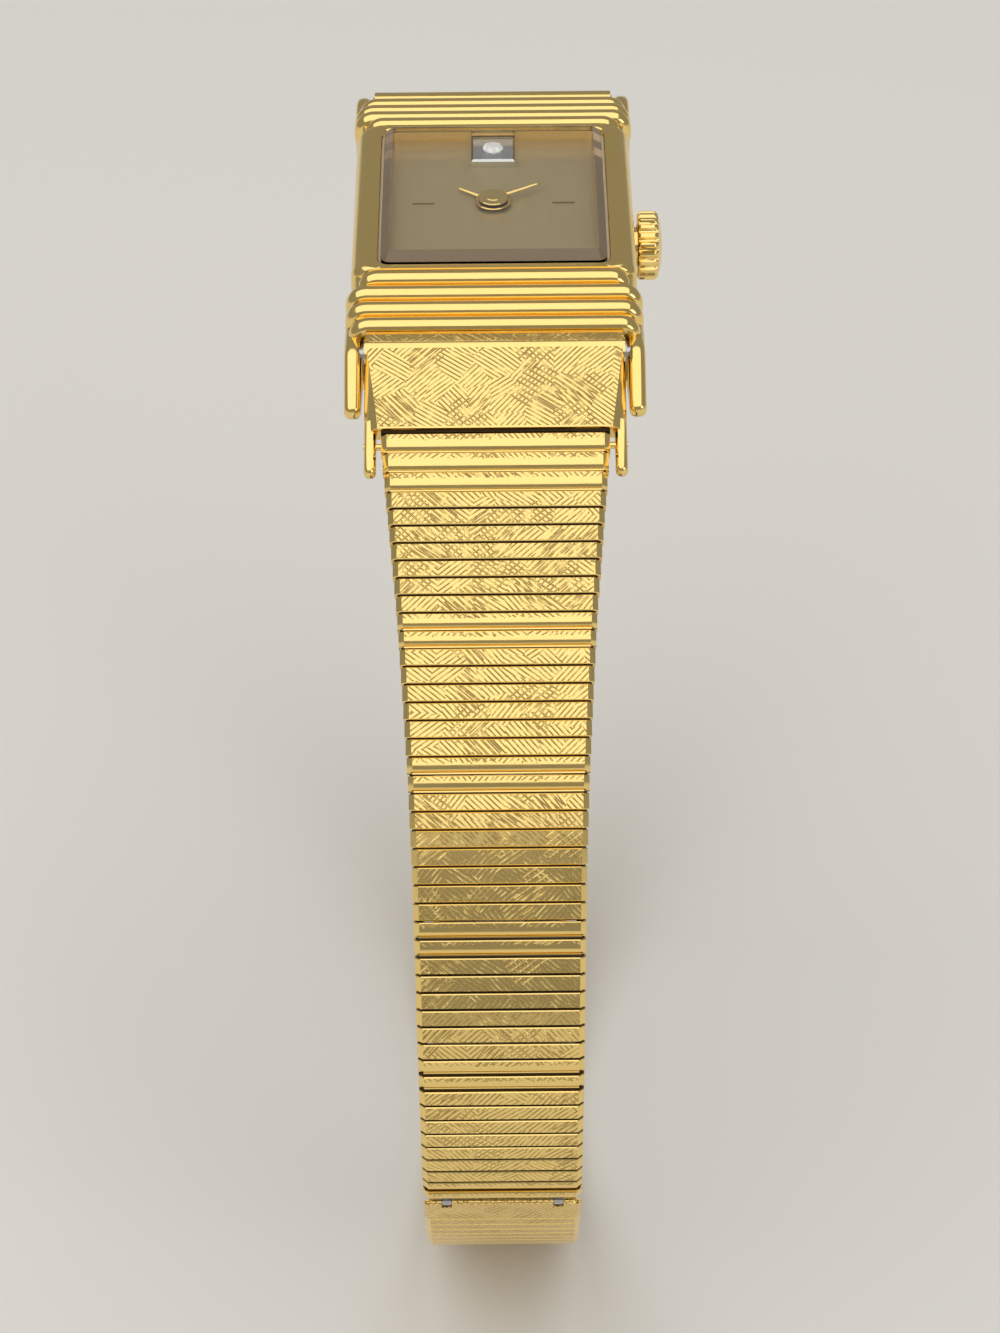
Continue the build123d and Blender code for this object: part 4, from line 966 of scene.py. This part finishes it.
def rib_shapes():
    """Half-round ribs that step down both ends. A rib is a rounded rectangle carried along the case, drawn
    in by the rounding times one minus a cosine while it goes out by the rounding times the sine."""
    head = bpy.context.scene.watch_head
    half, soft = millimetres(head.rib_thick) / 2, millimetres(head.rib_round)
    turn = np.linspace(0, math.pi / 2, RIB_STEPS)
    out, inward = half - soft + soft * np.sin(turn), soft * (1 - np.cos(turn))
    out, inward = np.concatenate([-out[::-1], out]), np.concatenate([inward[::-1], inward])
    drop = (RIB_TOP_FIRST - RIB_TOP_LAST) / (len(RIB_WIDTHS) - 1)
    shapes = []
    for number, width in enumerate(RIB_WIDTHS):
        top = RIB_TOP_FIRST - number * drop
        height = min(RIB_DEPTH, top - BACK_THICK)
        rows = [(width / 2 - i, height / 2 - i, RIB_CORNER - i, o) for i, o in zip(inward, out)]
        flat = rounded_rectangles(rows, RIB_CORNER_POINTS)
        for side in (-1, 1):
            place = side * (RIB_FIRST + number * RIB_PITCH)
            rings = np.stack([flat[..., 0], place + flat[..., 2], top - height / 2 + flat[..., 1]], -1)
            shapes.append(rings_shape(rings))
    return shapes


def rim_shape():
    """The rim: nested rounded rectangles that run up the flanks, round over them, and come down inside
    over the glass's seat to the cavity."""
    flank, shoulder, y = CASE_WIDTH / 2, RIM_TOP - RIM_ROUND, RIM_LENGTH / 2
    rows = [(flank, y, CORNER_ROUND, BACK_THICK), (flank, y, CORNER_ROUND, (BACK_THICK + shoulder) / 2)]
    rows += [(flank - RIM_ROUND * (1 - math.cos(a)), y, CORNER_ROUND, shoulder + RIM_ROUND * math.sin(a))
             for a in np.linspace(0, math.pi / 2, RIM_STEPS)]
    seat_x, seat_y = SEAT_SIZE[0] / 2, SEAT_SIZE[1] / 2
    rows += [(seat_x + RIM_EDGE, seat_y + RIM_EDGE, CORNER_ROUND, RIM_TOP),
             (seat_x, seat_y, CORNER_ROUND, RIM_TOP - RIM_EDGE), (seat_x, seat_y, CORNER_ROUND, CRYSTAL_LOW)]
    for (width, length), low, high in ((LIP_SIZE, DIAL_TOP, CRYSTAL_LOW), (CAVITY_SIZE, GASKET_TOP, DIAL_TOP),
                                       (GASKET_SIZE, BACK_THICK, GASKET_TOP)):
        rows += [(width / 2, length / 2, CAVITY_ROUND, height) for height in (high, low)]
    return rings_shape(rounded_rectangles(rows, CORNER_POINTS), closed=True)


def core_shapes():
    """The sloping bodies under the ribs at both ends."""
    inner, outer = RIM_LENGTH / 2 - CORNER_ROUND, END_LENGTH / 2
    outline = np.array([(inner, BACK_THICK), (outer, BACK_THICK), (outer, END_TOPS[1]), (inner, END_TOPS[0])])
    bar = soft_bar(outline, -END_WIDTH / 2, END_WIDTH / 2, CORNER_ROUND / 2)
    return [rings_shape(bar * np.array([1, side, 1])) for side in (-1, 1)]


def lug_shapes():
    """Four lugs: an outline with a half-round tip, carried across with a rounded rim on both faces."""
    tip = np.array(step_out(*step_along(BAR_Y, BAR_Z, SIX_DROOP, LUG_TIP_ALONG), SIX_DROOP, LUG_TIP_ABOVE))
    end = tip + LUG_TIP_RADIUS * unit(np.radians(np.linspace(*LUG_TIP_ARC) - SIX_DROOP / 2))
    shoulder = [(BAR_Y + along, LUG_BAR_TOP + up) for along, up in LUG_SHOULDER]
    outline = np.concatenate([[(LUG_ROOT, BACK_THICK), (LUG_ROOT, LUG_ROOT_TOP)], shoulder, end,
                              [(BAR_Y + LUG_FOOT, BACK_THICK)]])
    bar = soft_bar(outline, LUG_INNER, LUG_INNER + LUG_THICK, LUG_ROUND)
    return [rings_shape(bar * np.array([x, y, 1])) for x in (-1, 1) for y in (-1, 1)]


class WATCH_OT_case(bpy.types.Operator):
    """Makes the case middle: rim, half-round ribs, the bodies under them, lugs and the crown's tube"""
    bl_idname = "watch.case"
    bl_label = "Case middle"

    def execute(self, context):
        tube = turned(box_outline(TUBE_BORE, TUBE_RADIUS, 0.0, 1.0), TUBE_POINTS)
        start, reach = CASE_WIDTH / 2 - RIM_ROUND, TUBE_END - CASE_WIDTH / 2 + RIM_ROUND
        tube = np.stack([start + reach * tube[..., 2], tube[..., 0], STEM_Z + tube[..., 1]], -1)
        shapes = [rim_shape(), rings_shape(tube, closed=True)] + rib_shapes() + core_shapes() + lug_shapes()
        piece("case_middle_piece", shapes, [finish("polished gold")], "case", ("case_middle",),
              sharp=35.0)
        return {"FINISHED"}


class WATCH_OT_crystal(bpy.types.Operator):
    """Makes the thick glass with its wide polished bevel"""
    bl_idname = "watch.crystal"
    bl_label = "Crystal"

    def execute(self, context):
        head = context.scene.watch_head
        x, y = millimetres(head.crystal_width) / 2 - CLEAR, millimetres(head.crystal_length) / 2 - CLEAR
        bevel, top = millimetres(head.crystal_bevel), CRYSTAL_LOW + millimetres(head.crystal_thick)
        corner, soft = CRYSTAL_CORNER, CRYSTAL_SOFT
        rows = [(x, y, corner, CRYSTAL_LOW + CLEAR), (x, y, corner, top - bevel - soft),
                (x - soft / 2, y - soft / 2, corner, top - bevel),
                (x - bevel, y - bevel, corner - bevel + soft, top - soft / 2),
                (x - bevel - soft, y - bevel - soft, corner - bevel, top)]
        rings = rounded_rectangles(rows, CORNER_POINTS)
        finishes = np.zeros((len(rings) - 1, rings.shape[1]), int)
        finishes[0] = 1
        piece("crystal_glass", [rings_shape(rings, finishes=finishes)],
              [finish("bevel glass"), finish("crystal")], "case", ("crystal",), sharp=12.0)
        return {"FINISHED"}


class WATCH_OT_stone(bpy.types.Operator):
    """Makes the round cut stone at twelve"""
    bl_idname = "watch.stone"
    bl_label = "Cut stone"

    def execute(self, context):
        angle = np.arange(2 * STONE_FACETS) * math.pi / STONE_FACETS
        scallop = np.cos(STONE_FACETS * angle)
        radius, height, swing, lift = (column[:, None] for column in np.array(STONE_ROWS).T)
        r = radius + swing * scallop
        z = DIAL_TOP + SETTING_HEIGHT + height + lift * scallop
        rings = np.stack([r * np.cos(angle), SETTING_Y + r * np.sin(angle), z], -1)
        piece("cut_stone", [rings_shape(rings)], [finish("stone")], "case", ("stone",),
              sharp=1.0)
        return {"FINISHED"}


def hand_shapes(length, hub, low, bore, bearing, domed):
    """A hand: a disc turned round the centre, and a slim baton whose section has a ridge along it."""
    edge, top = HAND_THICK * DISC_EDGE, HAND_THICK
    profile = [(bore, 0.0), (hub - edge, 0.0), (hub, edge), (hub, top - edge), (hub - edge, top)]
    if domed:
        tip, rise = BUTTON_TIP
        profile += [(hub * share, top + height) for share, height in BUTTON] + [(tip, top + rise)]
    else:
        profile += [(bore, top)]
    along = np.array([BATON_START * hub, BATON_MIDDLE * length, length - BATON_TIP, length])[:, None]
    x = np.array(BATON_HALVES)[:, None] * np.array([-1, -1, 0, 1, 1])
    up = HAND_THICK * np.array(BATON_RIDGE) * np.array(BATON_ENDS)[:, None]
    baton = np.stack([x, np.broadcast_to(along, x.shape), up], -1)
    c, s = math.cos(bearing), -math.sin(bearing)
    turn, base = np.array([[c, s, 0], [-s, c, 0], [0, 0, 1]]), np.array([0, 0, low])
    return [rings_shape(turned(profile, DISC_POINTS) @ turn + base, closed=not domed),
            rings_shape(baton @ turn + base)]


class WATCH_OT_hands(bpy.types.Operator):
    """Makes the two hands with their bright discs"""
    bl_idname = "watch.hands"
    bl_label = "Hands"

    def execute(self, context):
        head = context.scene.watch_head
        minute = hand_shapes(millimetres(head.minute_length), millimetres(head.minute_hub), MINUTE_LOW,
                             MINUTE_BORE, head.minute_angle, True)
        hour = hand_shapes(millimetres(head.hour_length), millimetres(head.hour_hub), HOUR_LOW, HOUR_BORE,
                           head.hour_angle, False)
        for hand, shapes in (("minute_hand", minute), ("hour_hand", hour)):
            piece(f"{hand}_piece", shapes, [finish("polished gold")], hand, (hand,))
        return {"FINISHED"}


class WATCH_OT_crown(bpy.types.Operator):
    """Makes the fluted crown with its low dome and its bore"""
    bl_idname = "watch.crown"
    bl_label = "Crown"

    def execute(self, context):
        head = context.scene.watch_head
        radius, depth = millimetres(head.crown_radius), millimetres(head.flute_depth)
        start, end = CROWN_START, CROWN_START + CROWN_LENGTH
        bore_end = start + CROWN_BORE_DEPTH
        rows = [(CROWN_SOCKET, bore_end, 0), (CROWN_BORE, bore_end, 0), (CROWN_BORE, start, 0)]
        rows += [(radius + away, start + on, share) for away, on, share in CROWN_NEAR]
        rows += [(radius + away, end + on, share) for away, on, share in CROWN_FAR]
        rows += [(dome_radius, end + height, 0) for dome_radius, height in CROWN_DOME]
        radii, places, fluted = (column[:, None] for column in np.array(rows, float).T)
        count = head.flutes * FLUTE_POINTS
        angle = np.arange(count) * 2 * math.pi / count
        valley = np.clip(FLUTE_SHARE - FLUTE_SWING * np.cos(head.flutes * angle), 0, 1)
        r = radii - fluted * depth * valley
        y, z = r * np.cos(angle), STEM_Z + r * np.sin(angle)
        rings = np.stack([np.broadcast_to(places, r.shape), y, z], -1)
        piece("fluted_crown", [rings_shape(rings)], [finish("polished gold")], "crown", ("crown",),
              sharp=40.0)
        return {"FINISHED"}


def link_shapes(half):
    """An end link: a barrel round the spring bar, a plate whose bevelled top narrows away from the case,
    two side wings and the pin between them. The bevel's width is its start plus the taper times the share
    of the plate's length."""
    band = bpy.context.scene.watch_band
    bevel, taper = millimetres(band.link_bevel), millimetres(band.link_taper)
    width, low, lip = LINK_WIDTH / 2, LINK_BARREL - LINK_THICK, LINK_LIPS[half["side"]]
    inner = (BORE + BORE_ROOM) * unit(np.radians(np.linspace(*LINK_UNDER)))
    ahead, below = LINK_SOFT_MIDDLE
    outline = np.concatenate([
        [(BORE + BORE_ROOM, low)], inner, [(start + share * lip, up) for start, share, up in LIP_CURVE],
        [(LIP_END, LINK_BARREL), (LINK_LENGTH - LINK_SOFT, LINK_BARREL),
         (LINK_LENGTH - ahead, LINK_BARREL - below), (LINK_LENGTH, LINK_BARREL - LINK_SOFT),
         (LINK_LENGTH, low)]])
    widening = bevel + taper * np.clip(outline[:, 0] / LINK_LENGTH, 0, 1)
    rings = []
    for side in (-1, 1):
        rows = [np.stack([side * (width - inset * widening), outline[:, 0],
                          np.minimum(outline[:, 1], LINK_BARREL - drop)], -1) for inset, drop in LINK_FALL]
        rings += rows if side < 0 else rows[::-1]
    rings = np.array(rings)
    finishes = np.ones((len(rings) - 1, len(outline)), int)
    # only the plate's top is engraved, from the lip's edge to the soft end
    first = len(inner) + 2
    finishes[len(LINK_FALL) - 1, first:first + len(LIP_CURVE)] = 0
    shapes = [rings_shape(rings, rings[..., :2] + LINK_SHIFT * half["side"], finishes)]
    circle = unit(np.arange(ROUND_POINTS) * 2 * math.pi / ROUND_POINTS)
    tube = np.concatenate([carried(BORE * circle, [-width, width]),
                           carried(LINK_BARREL * circle, [width, -width])])
    shapes.append(rings_shape(tube, finishes=1, closed=True))
    high, wing_end = LINK_BARREL - 2 * WING_TOP_DROP, LINK_LENGTH + WING_REACH
    curve = WING_ROUND * unit(np.linspace(0, math.pi / 2, WING_STEPS))
    tip_top = np.array([wing_end - WING_ROUND, high - WING_ROUND]) + curve[:, ::-1]
    tip_low = np.array([wing_end - WING_ROUND, low + WING_ROUND]) + curve * np.array([1, -1])
    back = LINK_LENGTH - WING_BACK
    wing = np.concatenate([[(back, low), (back, high)], tip_top, tip_low])
    for edge in (-1, 1):
        bar = soft_bar(wing, *sorted((edge * WING_INNER, edge * width)), WING_SOFT)
        shapes.append(rings_shape(bar, finishes=1))
    away = half["droop"][0] - half["link"]
    place = step_along(LINK_LENGTH + LINK_GAP, LINK_BARREL - STRIP_RISE, away, FIRST_PITCH / 2)
    pin = LINK_PIN * circle[::2] + np.array(step_out(*place, away, STRIP_RISE - LINK_PIN_DEPTH))
    reach = width + LINK_PIN_PROUD
    shapes.append(rings_shape(carried(pin, [-reach, reach]), finishes=1))
    for shape in shapes:
        shape["points"] = on_link(shape["points"], half)
    return shapes


def link_shade_bar(half):
    """A dark bar of painted shade on the end of an end link's plate, which closes half of the gap to the
    first strip.
    """
    (near, far), (foot, top) = SHADE_BAR_PLATE
    near, far, reach = LINK_LENGTH + near, LINK_LENGTH + far, WING_INNER - SIDE_ROOM - 2 * SHADE_BAR_INSET
    return rings_shape(on_link(carried(box_outline(near, far, foot, top), [-reach, reach]), half))


class WATCH_OT_end_links(bpy.types.Operator):
    """Makes the two engraved end links with their wings and pins"""
    bl_idname = "watch.end_links"
    bl_label = "End links"

    def execute(self, context):
        for half in (six_half(), twelve_half()):
            node = "end_link_6" if half["side"] else "end_link_12"
            piece(f"{node}_piece", link_shapes(half), [finish("engraved gold"), finish("polished gold")],
                  node, (node,))
            # a dark bar of painted shade between the plate and the first strip
            piece(f"{node}_gap", [link_shade_bar(half)], [finish("gap")], node, (node,))
        return {"FINISHED"}


class WATCH_OT_strips(bpy.types.Operator):
    """Makes the bracelet's engraved strips, their carriers and hinge pins, section by section"""
    bl_idname = "watch.strips"
    bl_label = "Bracelet strips"

    def execute(self, context):
        for node, numbers, half in sections():
            cut = cut_strips(numbers)
            shapes = cap_shapes(numbers[~cut], half, False) if (~cut).any() else []
            shapes += cap_shapes(numbers[cut], half, True) if cut.any() else []
            piece(f"{node}_caps", shapes, [finish("engraved gold"), finish("polished gold")], node, (node,),
                  sharp=24.0)
            piece(f"{node}_carriers", carrier_shapes(numbers, half), [finish("hidden steel")], node, (node,))
            # dark bars of painted shade in the gaps between strips
            piece(f"{node}_gaps", shade_bar_shapes(numbers, half), [finish("gap")], node, (node,))
        return {"FINISHED"}


def stand(thing, right, up, back, place):
    """Puts an object at a place, with its three axes."""
    matrix = np.eye(4)
    matrix[:3, :4] = np.stack([right, up, back, place], 1)
    thing.matrix_world = Matrix(matrix.tolist())


def lamp(name, place, aim, width, power, colour):
    """A square area lamp at a place in millimetres, facing another place."""
    data = bpy.data.lights.new(name, "AREA")
    data.shape, data.size, data.energy, data.color = "SQUARE", width * MM, power, colour
    place, aim = np.array(place, float) * MM, np.array(aim, float) * MM
    back = (place - aim) / np.linalg.norm(place - aim)
    right = np.cross([0.0, 1.0, 0.0], back)
    right = right / np.linalg.norm(right)
    stand(new_object(name, data), right, np.cross(back, right), back, place)


def stand_camera(camera):
    """Turns the camera to its side, tilts it down and rolls it, at its place."""
    turn, tilt, roll = np.radians(CAMERA_ANGLES)
    ahead = np.array([-math.sin(turn) * math.cos(tilt), math.cos(turn) * math.cos(tilt), -math.sin(tilt)])
    level = np.array([math.cos(turn), math.sin(turn), 0.0])
    upward = np.cross(level, ahead)
    right = math.cos(roll) * level + math.sin(roll) * upward
    up = math.cos(roll) * upward - math.sin(roll) * level
    stand(camera, right, up, -ahead, np.array(CAMERA_PLACE) * MM)


class WATCH_OT_stage(bpy.types.Operator):
    """Makes the plain floor, the soft lamps and the camera"""
    bl_idname = "watch.stage"
    bl_label = "Floor, lamps and camera"

    def execute(self, context):
        scene = context.scene
        stage = scene.watch_stage
        low, half = float(CAD_BOX[0][2]), stage.floor_size / 2
        mesh = bpy.data.meshes.new("floor")
        mesh.from_pydata([(x, y, low) for x, y in box_outline(-half, half, -half, half)], [], [(0, 1, 2, 3)])
        floor = new_object("floor", mesh)
        # pale and without shine, so that it gives only a soft shadow
        mesh.materials.append(Coat("matt pale floor", stage.floor_colour, Roughness=0.9).material)
        world = bpy.data.worlds.new("even studio light")
        world.use_nodes = True
        scene.world = world
        background = next(node for node in world.node_tree.nodes if node.type == "BACKGROUND")
        background.inputs["Color"].default_value = (1.0, 0.99, 0.97, 1.0)
        background.inputs["Strength"].default_value = stage.sky
        lamp("broad lamp above", (-90, -130, 620), (0, -15, -10), 1200, stage.key_power, (1.0, 0.98, 0.95))
        lamp("lamp at the front", (420, -420, 200), (0, -20, -15), 260, stage.fill_power, (1.0, 0.99, 0.97))
        data = bpy.data.cameras.new("camera")
        data.sensor_fit, data.sensor_height, data.lens = "VERTICAL", SENSOR_HEIGHT, stage.focal_length
        data.clip_start, data.clip_end = VIEW_REACH
        scene.camera = new_object("camera", data)
        stand_camera(scene.camera)
        scene.view_settings.view_transform = "Standard"
        return {"FINISHED"}


OPERATORS = (WATCH_OT_stage, WATCH_OT_kept_nodes, WATCH_OT_case, WATCH_OT_crystal, WATCH_OT_stone,
             WATCH_OT_hands, WATCH_OT_crown, WATCH_OT_end_links, WATCH_OT_strips)
GROUPS = {"watch_head": WatchHead, "watch_band": WatchBand, "watch_finish": WatchFinish,
          "watch_stage": WatchStage}


class WATCH_PT_panel(bpy.types.Panel):
    """Lists the watch's sizes, colours and pieces"""
    bl_idname = "WATCH_PT_panel"
    bl_label = "Watch"
    bl_space_type = "VIEW_3D"
    bl_region_type = "UI"
    bl_category = "Watch"

    def draw(self, context):
        layout = self.layout
        for name, group in GROUPS.items():
            area = layout.box()
            for prop in group.__annotations__:
                area.prop(getattr(context.scene, name), prop)
        for operator in OPERATORS:
            layout.operator(operator.bl_idname)


def register():
    for cls in (*GROUPS.values(), *OPERATORS, WATCH_PT_panel):
        bpy.utils.register_class(cls)
    for name, group in GROUPS.items():
        setattr(bpy.types.Scene, name, PointerProperty(type=group))


def unregister():
    for name in GROUPS:
        delattr(bpy.types.Scene, name)
    for cls in (WATCH_PT_panel, *reversed(OPERATORS), *reversed(GROUPS.values())):
        bpy.utils.unregister_class(cls)


def main():
    """Registers the add-on and makes every piece in order."""
    register()
    bpy.ops.watch.stage()
    bpy.ops.watch.kept_nodes()
    bpy.ops.watch.case()
    bpy.ops.watch.crystal()
    bpy.ops.watch.stone()
    bpy.ops.watch.hands()
    bpy.ops.watch.crown()
    bpy.ops.watch.end_links()
    bpy.ops.watch.strips()


if __name__ == "__main__":
    main()
